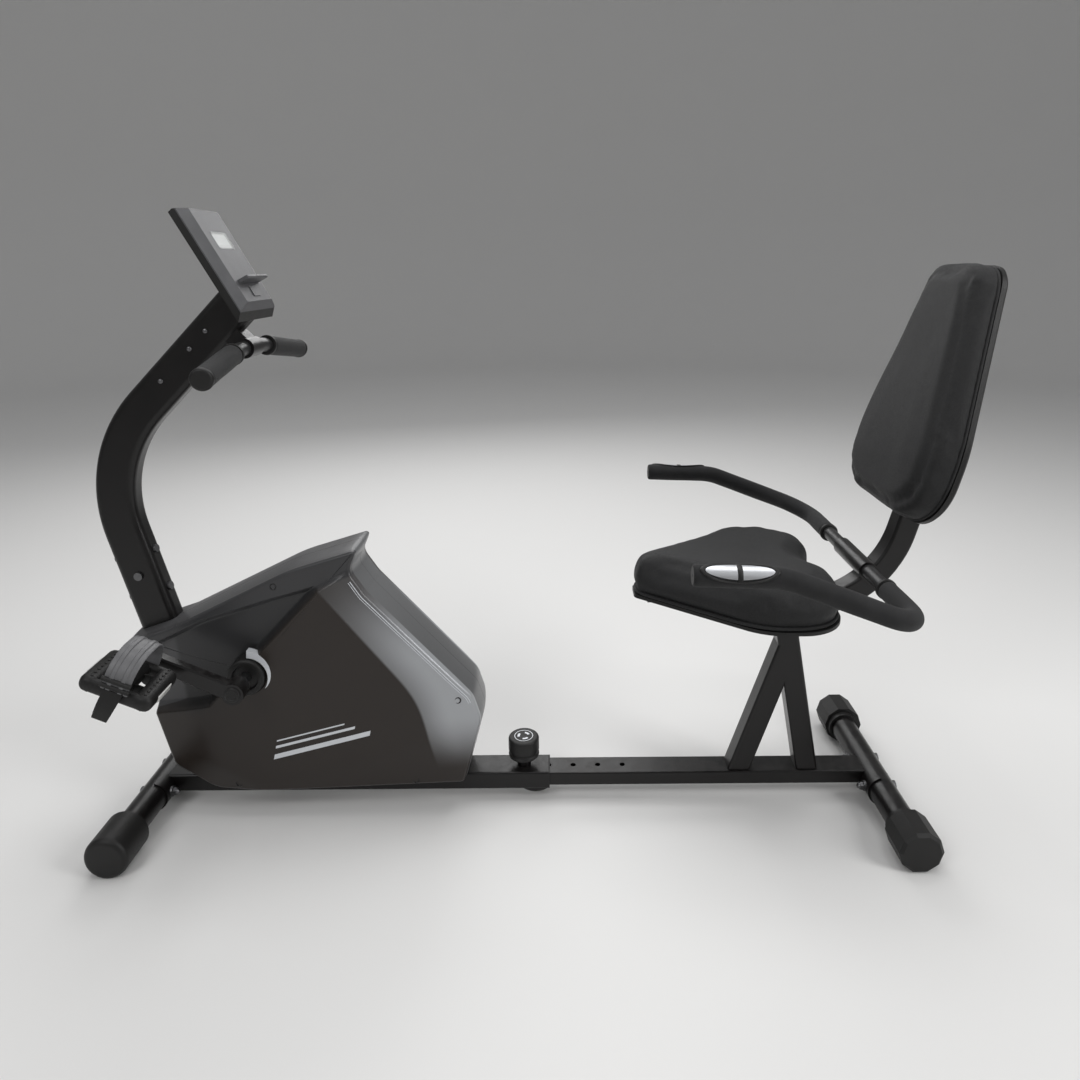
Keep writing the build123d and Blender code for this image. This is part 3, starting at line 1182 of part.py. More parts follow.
def shroud_cutouts():
    """Room for the beam, the mast and the crank axle."""
    gap = COVER_GAP
    beam = block(
        (-FAR, FAR), (-OUTER_BEAM_WIDTH / 2 - gap, OUTER_BEAM_WIDTH / 2 + gap),
        (0, BEAM_TOP + gap),
    )
    path = Line(mast_lower_point(BEAM_TOP), mast_lower_point(STUB_TOP_Z))
    opening = RectangleRounded(
        MAST_WIDTH + 2 * gap, MAST_DEPTH + 2 * gap, MAST_CORNER_RADIUS + gap
    )
    return beam + swept(path, opening, (0, 1, 0))


def shroud_halves():
    """Left and right shells with their crank bosses."""
    shell = shroud_body(0) - shroud_body(SHROUD_WALL)
    boss = rod_y(CRANK_X, CRANK_Z, CRANK_BOSS_RADIUS, -CRANK_BOSS_Y, -SHROUD_HALF_WIDTH + OVERCUT)
    recess_radius = CRANK_BOSS_RADIUS - CRANK_BOSS_LIP
    recess = rod_y(CRANK_X, CRANK_Z, recess_radius, -CRANK_BOSS_Y, CRANK_BOSS_DISH - CRANK_BOSS_Y)
    shell += both_sides(boss - recess)
    shell -= rod_y(CRANK_X, CRANK_Z, CRANK_BOSS_HOLE, -FAR, FAR)
    shell -= shroud_cutouts()
    left = shell & block((-FAR, FAR), (-FAR, 0), (0, FAR))
    right = shell & block((-FAR, FAR), (0, FAR), (0, FAR))
    return left, right


# ---------------------------------------------------------------- seat carriage
def leg_point(foot_x, lean, z):
    """Point of a leg's centre line; a positive lean goes rearwards."""
    return (foot_x + (z - INNER_BEAM_TOP) * tan(radians(lean)), 0, z)


def leg(foot_x, lean, z_top):
    """Square leg from inside the beam's height to a level."""
    path = Line(leg_point(foot_x, lean, INNER_BEAM_TOP - LEG_SIZE), leg_point(foot_x, lean, z_top))
    outer = swept(path, RectangleRounded(LEG_SIZE, LEG_SIZE, LEG_CORNER), (0, 1, 0))
    bore_size = LEG_SIZE - 2 * TUBE_WALL
    bore = swept(path, RectangleRounded(bore_size, bore_size, LEG_CORNER - TUBE_WALL), (0, 1, 0))
    return outer, bore


def seat_frame():
    """Welded legs and the plate that the seat is screwed to."""
    post_bottom = BACK_POST_Z - POST_SIZE / 2
    post_top = BACK_POST_Z + POST_SIZE / 2
    rear_outer, rear_bore = leg(REAR_LEG_X, -REAR_LEG_LEAN, post_bottom + LEG_SIZE / 2)
    front_outer, front_bore = leg(FRONT_LEG_X, FRONT_LEG_LEAN, LEG_MEETING_Z)
    apex_x, _, _ = leg_point(REAR_LEG_X, -REAR_LEG_LEAN, LEG_MEETING_Z)
    behind = block((apex_x, FAR), (-FAR, FAR), (LEG_MEETING_Z - LEG_TRIM, FAR))
    frame = rear_outer - rear_bore + (front_outer - front_bore - rear_outer - behind)
    cut = block((0, FAR), (-FAR, FAR), (0, INNER_BEAM_TOP))
    above = block((0, FAR), (-FAR, FAR), (post_bottom, FAR))
    frame = frame - cut - above
    cheek_outer = POST_SIZE / 2 + CHEEK_THICKNESS
    for sign in (-1, 1):
        y_range = sorted((sign * POST_SIZE / 2, sign * cheek_outer))
        frame += block(CHEEK_X, y_range, (post_bottom - CHEEK_DROP, post_top))
    plate = block(
        SEAT_PLATE_X, (-SEAT_PLATE_HALF_WIDTH, SEAT_PLATE_HALF_WIDTH),
        (post_top, post_top + SEAT_PLATE_THICKNESS),
    )
    return frame + fillet(plate.edges().filter_by(Axis.Z), SEAT_PLATE_CORNER)


def seat_outline():
    """Saddle seen from above."""
    rear = [(SEAT_NOTCH_X, 0, SEAT_NOTCH_ROUNDING)]
    corners = SEAT_OUTLINE + rear + [(x, -y, radius) for x, y, radius in reversed(SEAT_OUTLINE)]
    return rounded_face(corners)


SEAT_PLATE_TOP = BACK_POST_Z + POST_SIZE / 2 + SEAT_PLATE_THICKNESS
SEAT_BOTTOM = SEAT_PLATE_TOP + SEAT_PAN_THICKNESS


def seat_pan():
    """Moulded base of the seat, with the block under its nose."""
    outline = offset(seat_outline(), -SEAT_PAN_INSET)
    pan = extrude(Pos(0, 0, SEAT_PLATE_TOP) * outline, amount=SEAT_PAN_THICKNESS)
    return pan + block(
        NOSE_BLOCK_X, (-NOSE_BLOCK_HALF_WIDTH, NOSE_BLOCK_HALF_WIDTH),
        (SEAT_PLATE_TOP - NOSE_BLOCK_HEIGHT, SEAT_PLATE_TOP),
    )


def seat_cushion():
    """Plain body of the padded seat."""
    cushion = extrude(Pos(0, 0, SEAT_BOTTOM) * seat_outline(), amount=SEAT_THICKNESS)
    cushion = fillet(cushion.faces().sort_by(Axis.Z)[-1].edges(), SEAT_TOP_ROUNDING)
    return fillet(cushion.faces().sort_by(Axis.Z)[0].edges(), SEAT_BOTTOM_ROUNDING)


def back_post_path():
    """Centre line of the post from under the seat to behind the back pad."""
    top_x = BACK_POST_CORNER_X + (BACK_POST_TOP_Z - BACK_POST_Z) * tan(radians(BACK_LEAN))
    return FilletPolyline(
        (BACK_POST_FRONT_X, 0, BACK_POST_Z), (BACK_POST_CORNER_X, 0, BACK_POST_Z),
        (top_x, 0, BACK_POST_TOP_Z), radius=BACK_POST_BEND,
    )


def back_post_solid():
    """Back post before it is hollowed."""
    section = RectangleRounded(POST_SIZE, POST_SIZE, LEG_CORNER)
    return swept(back_post_path(), section, (0, 1, 0))


def back_post():
    """Bent square tube that carries the back."""
    bore = POST_SIZE - 2 * TUBE_WALL
    section = RectangleRounded(bore, bore, LEG_CORNER - TUBE_WALL)
    return back_post_solid() - swept(back_post_path(), section, (0, 1, 0))


BACK_ANCHOR_X = BACK_POST_CORNER_X + (BACK_ANCHOR_Z - BACK_POST_Z) * tan(radians(BACK_LEAN))
FORWARD = Vector(-cos(radians(BACK_LEAN)), 0, sin(radians(BACK_LEAN)))
BACK_ORIGIN = Vector(BACK_ANCHOR_X, 0, BACK_ANCHOR_Z) + FORWARD * (POST_SIZE / 2)
# local frame of the back: x up the back, y across, z forwards out of the post
BACK = Plane(
    origin=BACK_ORIGIN, x_dir=(sin(radians(BACK_LEAN)), 0, cos(radians(BACK_LEAN))), z_dir=FORWARD
).location


def back_board():
    """Rigid shell on the post behind the pad."""
    outline = offset(rounded_face(mirrored_corners(BACK_OUTLINE)), -BOARD_INSET)
    board = extrude(outline, amount=BOARD_BACK_THICKNESS)
    board = chamfer(board.faces().sort_by(Axis.Z)[0].edges(), BOARD_CHAMFER)
    return BACK * board


def back_pad():
    """Plain body of the padded back."""
    outline = rounded_face(mirrored_corners(BACK_OUTLINE))
    pad = Pos(0, 0, BOARD_BACK_THICKNESS) * extrude(outline, amount=BACK_PAD_THICKNESS)
    return BACK * fillet(pad.faces().sort_by(Axis.Z)[-1].edges(), BACK_PAD_ROUNDING)


# ---------------------------------------------------------------- seat handle
def handle_points(side):
    """Corners of one arm of the seat handle, from its grip end to the cross bar's corner."""
    y = side * HANDLE_HALF_SPAN
    return [(x, y, z) for x, z in (HANDLE_END, HANDLE_KNEE, HANDLE_CROSS)]


def seat_handle():
    """Bent tube behind and beside the seat."""
    points = handle_points(-1) + list(reversed(handle_points(1)))
    radii = [HANDLE_KNEE_RADIUS, HANDLE_CORNER_RADIUS, HANDLE_CORNER_RADIUS, HANDLE_KNEE_RADIUS]
    path = FilletPolyline(*points, radius=radii)
    tube = swept(path, Circle(BAR_RADIUS), (0, 1, 0))
    return tube - swept(path, Circle(BAR_RADIUS - TUBE_WALL), (0, 1, 0))


def handle_end_direction():
    """Unit vector along the grip, from its end towards the knee."""
    return (Vector(HANDLE_KNEE[0], 0, HANDLE_KNEE[1]) - Vector(HANDLE_END[0], 0, HANDLE_END[1])).normalized()


def seat_grips():
    """Foam over both arms and round both corners of the seat handle."""
    cross = (HANDLE_CROSS[0], -HANDLE_GRIP_END_Y, HANDLE_CROSS[1])
    radii = [HANDLE_KNEE_RADIUS, HANDLE_CORNER_RADIUS]
    path = FilletPolyline(*handle_points(-1), cross, radius=radii)
    foam = swept(path, Circle(HANDLE_GRIP_RADIUS), (0, 1, 0))
    foam -= swept(path, Circle(BAR_RADIUS + FOAM_FIT), (0, 1, 0))
    end = Vector(HANDLE_END[0], -HANDLE_HALF_SPAN, HANDLE_END[1])
    tip = end - handle_end_direction() * HANDLE_GRIP_CAP
    return both_sides(foam + rod_between(tip, end, HANDLE_GRIP_RADIUS))


def pulse_plates():
    """Pairs of metal contact plates let round the outside of both grips."""
    end = Vector(HANDLE_END[0], -HANDLE_HALF_SPAN, HANDLE_END[1])
    along = handle_end_direction()
    start = end + along * PULSE_START
    finish = start + along * PULSE_LENGTH
    inner = HANDLE_GRIP_RADIUS + FOAM_FIT / 2
    shell = rod_between(start, finish, inner + PULSE_THICKNESS) - rod_between(start, finish, inner)
    outward = Vector(0, -sin(radians(PULSE_TURN)), cos(radians(PULSE_TURN)))
    middle = (start + finish) / 2
    view = Plane(origin=middle, x_dir=along, z_dir=outward - along * outward.dot(along))
    lens = Ellipse(PULSE_LENGTH / 2, PULSE_HEIGHT / 2) - Rectangle(PULSE_STRIP, 2 * PULSE_HEIGHT)
    plates = shell & extrude(view * lens, amount=2 * HANDLE_GRIP_RADIUS)
    return both_sides(plates)


def handle_bracket():
    """Sleeve round the cross bar with a block onto the back post."""
    x, z = HANDLE_CROSS
    half = HANDLE_SLEEVE_HALF_LENGTH
    bracket = rod_y(x, z, BAR_RADIUS + HANDLE_SLEEVE, -half, half)
    bend_x = BACK_POST_CORNER_X - BACK_POST_BEND * tan(radians((90 - BACK_LEAN) / 2))
    bend_z = BACK_POST_Z + BACK_POST_BEND
    towards = Vector(x - bend_x, 0, z - bend_z).normalized()
    reach = BACK_POST_BEND - Vector(x - bend_x, 0, z - bend_z).length
    frame = Plane(origin=(x, 0, z), x_dir=(0, 1, 0), z_dir=towards).location
    bracket += frame * Pos(0, 0, reach / 2) * Box(POST_SIZE, HANDLE_BLOCK_DEPTH, reach)
    bracket -= rod_y(x, z, BAR_RADIUS, -half, half)
    return bracket - back_post_solid()


# ---------------------------------------------------------------- origin
MAST_TURN = radians(90 + MAST_LEAN - MAST_RISE)
MAST_TANGENT = MAST_BEND * tan(MAST_TURN / 2)
MAST_BEND_X = MAST_CORNER_X + MAST_TANGENT * sin(radians(MAST_LEAN)) + MAST_BEND * cos(radians(MAST_LEAN))
FRONT_END_X = MAST_BEND_X - MAST_BEND - MAST_DEPTH / 2
BACK_TOP = BACK_OUTLINE[-1][0] - BOARD_INSET - BOARD_CHAMFER
REAR_END_X = BACK_ORIGIN.X + BACK_TOP * sin(radians(BACK_LEAN))
# the origin stands on the floor halfway along the bike
MIDDLE_X = (FRONT_END_X + REAR_END_X) / 2


def save(name, shape):
    """Write one named piece in the bike's own frame."""
    export_step(Pos(-MIDDLE_X, 0, 0) * shape, "parts/" + name + ".step")


# ---------------------------------------------------------------- build
save("front_stabilizer", stabilizer(FRONT_STABILIZER_X))
save("front_saddle", saddle(FRONT_STABILIZER_X, 1))
save("front_base_bolts", base_bolts(FRONT_STABILIZER_X, 1))
save("front_end_caps", both_sides(front_cap()))
save("front_beam", front_beam())
save("beam_bush", beam_bush())
save("pin_collar", pin_collar())
save("locking_pin", locking_pin())
save("pull_knob", pull_knob())

save("mast_stub", mast_stub())
save("mast", mast())
save("mast_bolts", mast_bolts())
save("console_bezel", console_bezel())
save("console_back", console_back())
save("console_lens", console_lens())
save("console_board", console_board())
save("console_bracket", console_bracket())
save("mode_button", mode_button())
save("hand_bar", hand_bar())
save("hand_grips", hand_grips())
save("hand_bar_caps", hand_bar_caps())
save("hand_bar_clamp", hand_bar_clamp())

save("bottom_bracket", bottom_bracket())
save("crank_bearings", crank_bearings())
save("crank_axle", crank_axle())
save("drive_pulley", drive_pulley())
save("drive_belt", drive_belt())
save("flywheel", flywheel())
save("flywheel_pulley", flywheel_pulley())
save("flywheel_axle", flywheel_axle())
save("flywheel_mount", flywheel_mount())
save("magnet_bracket", magnet_bracket())
save("servo_unit", servo_unit())
save("idler_arm", idler_arm())
save("idler_roller", idler_roller())
save("pedal_spindles", pedal_spindles())
for side, name in ((-1, "left"), (1, "right")):
    save("crank_arm_" + name, crank_arm(side))
    save("pedal_" + name, pedal(side))
    save("toe_strap_" + name, toe_strap(side))
    save("level_cap_" + name, level_cap(side))

shroud_left, shroud_right = shroud_halves()
save("shroud_left", shroud_left)
save("shroud_right", shroud_right)

save("rear_beam", rear_beam())
save("rear_stabilizer", stabilizer(REAR_STABILIZER_X))
save("rear_saddle", saddle(REAR_STABILIZER_X, -1))
save("rear_base_bolts", base_bolts(REAR_STABILIZER_X, -1))
save("seat_frame", seat_frame())
save("seat_pan", seat_pan())
save("seat_cushion", seat_cushion())
save("back_post", back_post())
save("back_board", back_board())
save("back_pad", back_pad())
save("seat_handle", seat_handle())
save("seat_grips", seat_grips())
save("pulse_plates", pulse_plates())
save("handle_bracket", handle_bracket())
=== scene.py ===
"""Looks of a recumbent exercise bike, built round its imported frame.

Metres.  +Z is up, +X points to the seat and -Y is the rider's left.  The frame gives every place.
"""

import functools
import logging
import math
from collections.abc import Callable, Sequence
from dataclasses import dataclass, field
from enum import Enum

import bmesh
import bpy
from mathutils import Matrix, Quaternion, Vector, noise
from mathutils.kdtree import KDTree


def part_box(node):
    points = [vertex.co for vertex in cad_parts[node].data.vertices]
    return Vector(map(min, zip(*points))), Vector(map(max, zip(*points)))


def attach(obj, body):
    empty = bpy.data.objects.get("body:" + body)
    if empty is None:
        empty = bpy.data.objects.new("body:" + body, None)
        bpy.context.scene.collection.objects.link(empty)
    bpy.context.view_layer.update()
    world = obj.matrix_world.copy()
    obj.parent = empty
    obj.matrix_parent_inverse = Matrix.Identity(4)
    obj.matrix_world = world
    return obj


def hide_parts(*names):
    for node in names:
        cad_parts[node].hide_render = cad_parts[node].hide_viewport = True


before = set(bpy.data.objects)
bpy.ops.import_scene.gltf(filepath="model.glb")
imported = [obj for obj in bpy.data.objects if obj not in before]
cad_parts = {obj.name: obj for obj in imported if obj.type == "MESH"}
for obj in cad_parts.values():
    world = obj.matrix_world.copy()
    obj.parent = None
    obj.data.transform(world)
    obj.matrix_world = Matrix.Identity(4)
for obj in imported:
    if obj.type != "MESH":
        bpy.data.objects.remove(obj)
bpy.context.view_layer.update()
LOG = logging.getLogger("bike")
Colour = tuple[float, float, float]
Point = tuple[float, float]
UP = Vector((0, 0, 1))
SIDEWAYS = Vector((0, 1, 0))
ROUND = 32                # sides of a turned or tubular piece


class Side(Enum):
    """Side of the plane of symmetry, as the rider sits."""

    LEFT = -1
    RIGHT = 1

    @property
    def label(self) -> str:
        """The side's name in lower case."""
        return self.name.lower()


# ---------------------------------------------------------------- shader graphs
class Value:
    """A number socket of a material, whose operators add Math nodes."""

    def __init__(self, graph: "Graph", socket: bpy.types.NodeSocket) -> None:
        """Wrap a socket of a graph."""
        self.graph = graph
        self.socket = socket

    def math(self, operation: str, *operands: "Value | float") -> "Value":
        """Add a Math node.

        Args:
            operation: The node's operation.
            operands: Its inputs in order.

        Returns:
            The node's result.
        """
        node = self.graph.node("ShaderNodeMath", {"operation": operation}, dict(enumerate(operands)))
        return Value(self.graph, node.outputs[0])

    def __add__(self, other: "Value | float") -> "Value":
        """Sum."""
        return self.math("ADD", self, other)

    __radd__ = __add__

    def __sub__(self, other: "Value | float") -> "Value":
        """Difference."""
        return self.math("SUBTRACT", self, other)

    def __rsub__(self, other: float) -> "Value":
        """Difference from a number."""
        return self.math("SUBTRACT", other, self)

    def __mul__(self, other: "Value | float") -> "Value":
        """Product."""
        return self.math("MULTIPLY", self, other)

    __rmul__ = __mul__

    def __abs__(self) -> "Value":
        """Size without sign."""
        return self.math("ABSOLUTE", self)

    def sine(self) -> "Value":
        """Sine of an angle in radians."""
        return self.math("SINE", self)

    def most_softly(self, other: "Value | float", reach: float) -> "Value":
        """Larger of two, rounded off where they are within reach of each other."""
        return self.math("SMOOTH_MAX", self, other, reach)

    def eased(self, low: float, high: float) -> "Value":
        """Smooth step from 0 at low to 1 at high; low may be the larger.

        Args:
            low: Value that gives 0.
            high: Value that gives 1.

        Returns:
            The eased share, held to 0..1.
        """
        inputs = {"Value": self, "From Min": low, "From Max": high}
        node = self.graph.node("ShaderNodeMapRange", {"interpolation_type": "SMOOTHSTEP"}, inputs)
        return Value(self.graph, node.outputs["Result"])


class Graph:
    """Node tree of one material, ending in a Principled shader."""

    MIX_FACTOR, MIX_A, MIX_B, MIX_RESULT = 0, 6, 7, 2

    def __init__(self, name: str) -> None:
        """Start an empty material.

        Args:
            name: Name of the material.
        """
        self.material = bpy.data.materials.new(name)
        self.material.use_nodes = True
        self.tree = self.material.node_tree
        self.tree.nodes.clear()
        self.shader = self.node("ShaderNodeBsdfPrincipled")
        self.node("ShaderNodeOutputMaterial", inputs={"Surface": self.shader.outputs["BSDF"]})
        self.place = self.node("ShaderNodeTexCoord").outputs["Object"]

    def node(
        self, kind: str, settings: dict[str, object] | None = None, inputs: dict | None = None
    ) -> bpy.types.Node:
        """Add a node.

        Args:
            kind: Type of the node.
            settings: Properties set before its sockets are fed.
            inputs: Values or links of its sockets, by name or number.

        Returns:
            The node.
        """
        made = self.tree.nodes.new(kind)
        for key, value in (settings or {}).items():
            setattr(made, key, value)
        for key, value in (inputs or {}).items():
            self.feed(made.inputs[key], value)
        return made

    def feed(self, socket: bpy.types.NodeSocket, value: object) -> None:
        """Link a socket or set its value.

        Args:
            socket: Input to feed.
            value: A Value, a socket, a number, a vector or a colour.
        """
        source = value.socket if isinstance(value, Value) else value
        if isinstance(source, bpy.types.NodeSocket):
            self.tree.links.new(source, socket)
        elif socket.type == "RGBA":
            socket.default_value = (*source, 1.0)
        else:
            socket.default_value = source

    def surface(self, **sockets: object) -> None:
        """Feed sockets of the shader, whose names have _ for a space."""
        for name, value in sockets.items():
            self.feed(self.shader.inputs[name.replace("_", " ")], value)

    def axes(self, source: bpy.types.NodeSocket | None = None) -> tuple[Value, Value, Value]:
        """Split a vector.

        Args:
            source: The vector, or the place on the object.

        Returns:
            Its three numbers.
        """
        node = self.node("ShaderNodeSeparateXYZ", inputs={0: source or self.place})
        return tuple(Value(self, out) for out in node.outputs)

    def upward(self) -> Value:
        """How far the surface faces up at rest, from -1 to 1."""
        return self.axes(self.node("ShaderNodeTexCoord").outputs["Normal"])[2]

    def stretched(self, scale: Sequence[float]) -> bpy.types.NodeSocket:
        """The place on the object, scaled along each axis."""
        settings = {"operation": "MULTIPLY"}
        return self.node("ShaderNodeVectorMath", settings, {0: self.place, 1: scale}).outputs[0]

    def speckle(
        self, scale: float, detail: float = 2.0, roughness: float = 0.5,
        place: bpy.types.NodeSocket | None = None,
    ) -> Value:
        """Noise from 0 to 1.

        Args:
            scale: Grains to the metre.
            detail: Octaves.
            roughness: Share of each finer octave.
            place: Coordinates, or those of the object.

        Returns:
            The noise.
        """
        inputs = {"Vector": place or self.place, "Scale": scale, "Detail": detail, "Roughness": roughness}
        return Value(self, self.node("ShaderNodeTexNoise", inputs=inputs).outputs[0])

    def cells(self, scale: float, feature: str = "F1", place: bpy.types.NodeSocket | None = None) -> Value:
        """Distance to the nearest of scattered points.

        Args:
            scale: Cells to the metre.
            feature: Which distance of the Voronoi pattern.
            place: Coordinates, or those of the object.

        Returns:
            The distance.
        """
        inputs = {"Vector": place or self.place, "Scale": scale}
        node = self.node("ShaderNodeTexVoronoi", {"feature": feature}, inputs)
        return Value(self, node.outputs["Distance"])

    def mix(self, share: Value | float, one: object, two: object) -> bpy.types.NodeSocket:
        """Blend two colours.

        Args:
            share: Share of the second.
            one: First colour.
            two: Second colour.

        Returns:
            The blend.
        """
        inputs = {self.MIX_FACTOR: share, self.MIX_A: one, self.MIX_B: two}
        return self.node("ShaderNodeMix", {"data_type": "RGBA"}, inputs).outputs[self.MIX_RESULT]

    def relief(
        self, height: Value, depth: float, strength: float = 1.0, under: bpy.types.NodeSocket | None = None
    ) -> bpy.types.NodeSocket:
        """Bumped normal.

        Args:
            height: Height from 0 to 1.
            depth: Metres that 1 stands for.
            strength: Share of the effect.
            under: Normal that it starts from.

        Returns:
            The normal.
        """
        inputs = {"Height": height, "Distance": depth, "Strength": strength}
        if under is not None:
            inputs["Normal"] = under
        return self.node("ShaderNodeBump", inputs=inputs).outputs[0]


# ---------------------------------------------------------------- finishes
def tinted(colour: Colour, factor: float) -> Colour:
    """A colour made lighter or darker, held below white."""
    return tuple(min(1.0, channel * factor) for channel in colour)


@dataclass(frozen=True)
class Finish:
    """A named surface; each kind paints its own graph."""

    name: str
    slot: str
    colour: Colour
    roughness: float = 0.5

    def material(self) -> bpy.types.Material:
        """The material, made at its first use.

        Returns:
            The material.
        """
        made = bpy.data.materials.get(self.name)
        if made is None:
            graph = Graph(self.name)
            self.paint(graph)
            made = graph.material
        return made

    def paint(self, graph: Graph) -> None:
        """Fill the graph."""
        raise NotImplementedError


@dataclass(frozen=True)
class PowderCoat(Finish):
    """Baked paint with a fine orange peel and a trace of dust where it faces up."""

    peel: float = 900.0
    dust: Colour = (0.10, 0.095, 0.09)
    dust_share: float = 0.16

    def paint(self, graph: Graph) -> None:
        """Fill the graph.

        Args:
            graph: Graph of the material.
        """
        patches = graph.speckle(22.0, 4.0)
        resting = graph.upward().eased(0.55, 1.0) * graph.speckle(60.0, 5.0, 0.65).eased(0.35, 0.75)
        body = graph.mix(patches.eased(0.3, 0.8) * 0.35, self.colour, tinted(self.colour, 1.9))
        peel = graph.speckle(self.peel, 3.0)
        graph.surface(
            Base_Color=graph.mix(resting * self.dust_share, body, self.dust),
            Roughness=self.roughness + patches * 0.10 + resting * 0.18,
            Normal=graph.relief(peel, 0.0004, 0.35),
            Specular_IOR_Level=0.32,
            Coat_Weight=0.10,
            Coat_Roughness=0.12,
        )


@dataclass(frozen=True)
class MouldedPlastic(Finish):
    """Spark-eroded plastic: a fine even grain."""

    grain: float = 1300.0
    depth: float = 0.00022

    def paint(self, graph: Graph) -> None:
        """Fill the graph.

        Args:
            graph: Graph of the material.
        """
        grain = graph.cells(self.grain)
        cloud = graph.speckle(28.0, 5.0)
        dusty = graph.upward().eased(0.6, 1.0) * graph.speckle(90.0, 4.0)
        body = graph.mix(cloud.eased(0.35, 0.75) * 0.4, self.colour, tinted(self.colour, 1.6))
        graph.surface(
            Base_Color=graph.mix(dusty * 0.12, body, (0.12, 0.115, 0.11)),
            Roughness=self.roughness + (grain - 0.5) * 0.12 + cloud * 0.08,
            Normal=graph.relief(grain, self.depth, 0.5),
            Specular_IOR_Level=0.35,
        )


@dataclass(frozen=True)
class Vinyl(Finish):
    """Soft leather-grained vinyl with a low sheen and painted shade in its grain."""

    grain: float = 620.0

    def paint(self, graph: Graph) -> None:
        """Fill the graph.

        Args:
            graph: Graph of the material.
        """
        drift = graph.node(
            "ShaderNodeVectorMath", {"operation": "MULTIPLY_ADD"},
            {0: graph.node("ShaderNodeTexNoise", inputs={"Vector": graph.place, "Scale": 160.0}).outputs[1],
             1: (0.004, 0.004, 0.004), 2: graph.place},
        ).outputs[0]
        pebbles = graph.cells(self.grain, "DISTANCE_TO_EDGE", drift).eased(0.0, 0.32)
        pores = graph.cells(self.grain * 3.1)
        cloud = graph.speckle(9.0, 5.0, 0.6)
        folds = graph.speckle(38.0, 3.0, 0.55)
        body = graph.mix(cloud.eased(0.3, 0.75), self.colour, tinted(self.colour, 1.35))
        # Painted shade: the valleys between the grain's pebbles are painted darker.
        colour_with_painted_grain_shade = graph.mix((1 - pebbles) * 0.55, body, tinted(self.colour, 0.45))
        coarse = graph.relief(folds, 0.0025, 0.18)
        fine = graph.relief(pebbles - pores * 0.2, 0.00035, 0.55, coarse)
        graph.surface(
            Base_Color=colour_with_painted_grain_shade,
            Roughness=self.roughness + (1 - pebbles) * 0.15 + cloud * 0.06,
            Normal=fine,
            Specular_IOR_Level=0.3,
            Sheen_Weight=0.04,
            Sheen_Roughness=0.4,
        )


@dataclass(frozen=True)
class Foam(Finish):
    """Closed-cell foam sleeve: matt skin with open pores, which are painted dark as shade."""

    pores: float = 1500.0

    def paint(self, graph: Graph) -> None:
        """Fill the graph.

        Args:
            graph: Graph of the material.
        """
        holes = graph.cells(self.pores).eased(0.12, 0.5)
        cloud = graph.speckle(40.0, 4.0)
        scuffs = graph.speckle(300.0, 6.0, 0.7)
        body = graph.mix(cloud.eased(0.3, 0.8), self.colour, tinted(self.colour, 1.5))
        graph.surface(
            # Painted shade: the pores are painted darker than the skin.
            Base_Color=graph.mix((1 - holes) * 0.6, body, tinted(self.colour, 0.3)),
            Roughness=self.roughness + scuffs * 0.12,
            Normal=graph.relief(holes * 0.7 + scuffs * 0.3, 0.0004, 0.6),
            Specular_IOR_Level=0.3,
            Sheen_Weight=0.05,
            Sheen_Roughness=0.5,
        )


@dataclass(frozen=True)
class Metal(Finish):
    """Bare or plated metal, brushed along one axis."""

    brushing: tuple[float, float, float] = (40.0, 900.0, 900.0)
    tarnish: float = 0.25

    def paint(self, graph: Graph) -> None:
        """Fill the graph.

        Args:
            graph: Graph of the material.
        """
        lines = graph.speckle(1.0, 3.0, 0.6, graph.stretched(self.brushing))
        stains = graph.speckle(70.0, 5.0, 0.6)
        stained = stains.eased(0.45, 0.8) * self.tarnish
        graph.surface(
            Base_Color=graph.mix(stained, self.colour, tinted(self.colour, 0.45)),
            Metallic=1.0,
            Roughness=self.roughness + lines * 0.16 + stains * 0.08,
            Normal=graph.relief(lines, 0.0001, 0.4),
        )


@dataclass(frozen=True)
class Ribbed(Finish):
    """Soft plastic or rubber with a satin skin and fine scuffs."""

    scuff: float = 0.5

    def paint(self, graph: Graph) -> None:
        """Fill the graph.

        Args:
            graph: Graph of the material.
        """
        scuffs = graph.speckle(1.0, 5.0, 0.7, graph.stretched((400.0, 120.0, 120.0)))
        cloud = graph.speckle(30.0, 3.0)
        worn = scuffs.eased(0.5, 0.85) * self.scuff
        graph.surface(
            Base_Color=graph.mix(worn, graph.mix(cloud * 0.5, self.colour, tinted(self.colour, 0.6)),
                                 tinted(self.colour, 1.6)),
            Roughness=self.roughness + worn * 0.2,
            Normal=graph.relief(graph.speckle(1800.0, 2.0) * 0.6 + scuffs * 0.4, 0.0003, 0.4),
        )


@dataclass(frozen=True)
class Window(Finish):
    """Clear plastic over the display."""

    alpha: float = 0.22

    def paint(self, graph: Graph) -> None:
        """Fill the graph.

        Args:
            graph: Graph of the material.
        """
        smears = graph.speckle(45.0, 4.0)
        graph.surface(
            Base_Color=self.colour, Alpha=self.alpha, Roughness=self.roughness + smears * 0.08,
            Coat_Weight=0.6, Coat_Roughness=0.06,
        )


@dataclass(frozen=True)
class Display(Finish):
    """Pale liquid crystal with a faint dot grid."""

    pitch: float = 0.0009

    def paint(self, graph: Graph) -> None:
        """Fill the graph.

        Args:
            graph: Graph of the material.
        """
        _, across, height = graph.axes()
        grid = (across * (math.tau / self.pitch)).sine() * (height * (math.tau / self.pitch)).sine()
        glow = graph.speckle(14.0, 3.0)
        dimmed = grid.eased(0.2, 1.0) * 0.3 + glow * 0.25
        graph.surface(
            Base_Color=graph.mix(dimmed, self.colour, tinted(self.colour, 0.72)),
            Roughness=self.roughness + glow * 0.1,
        )


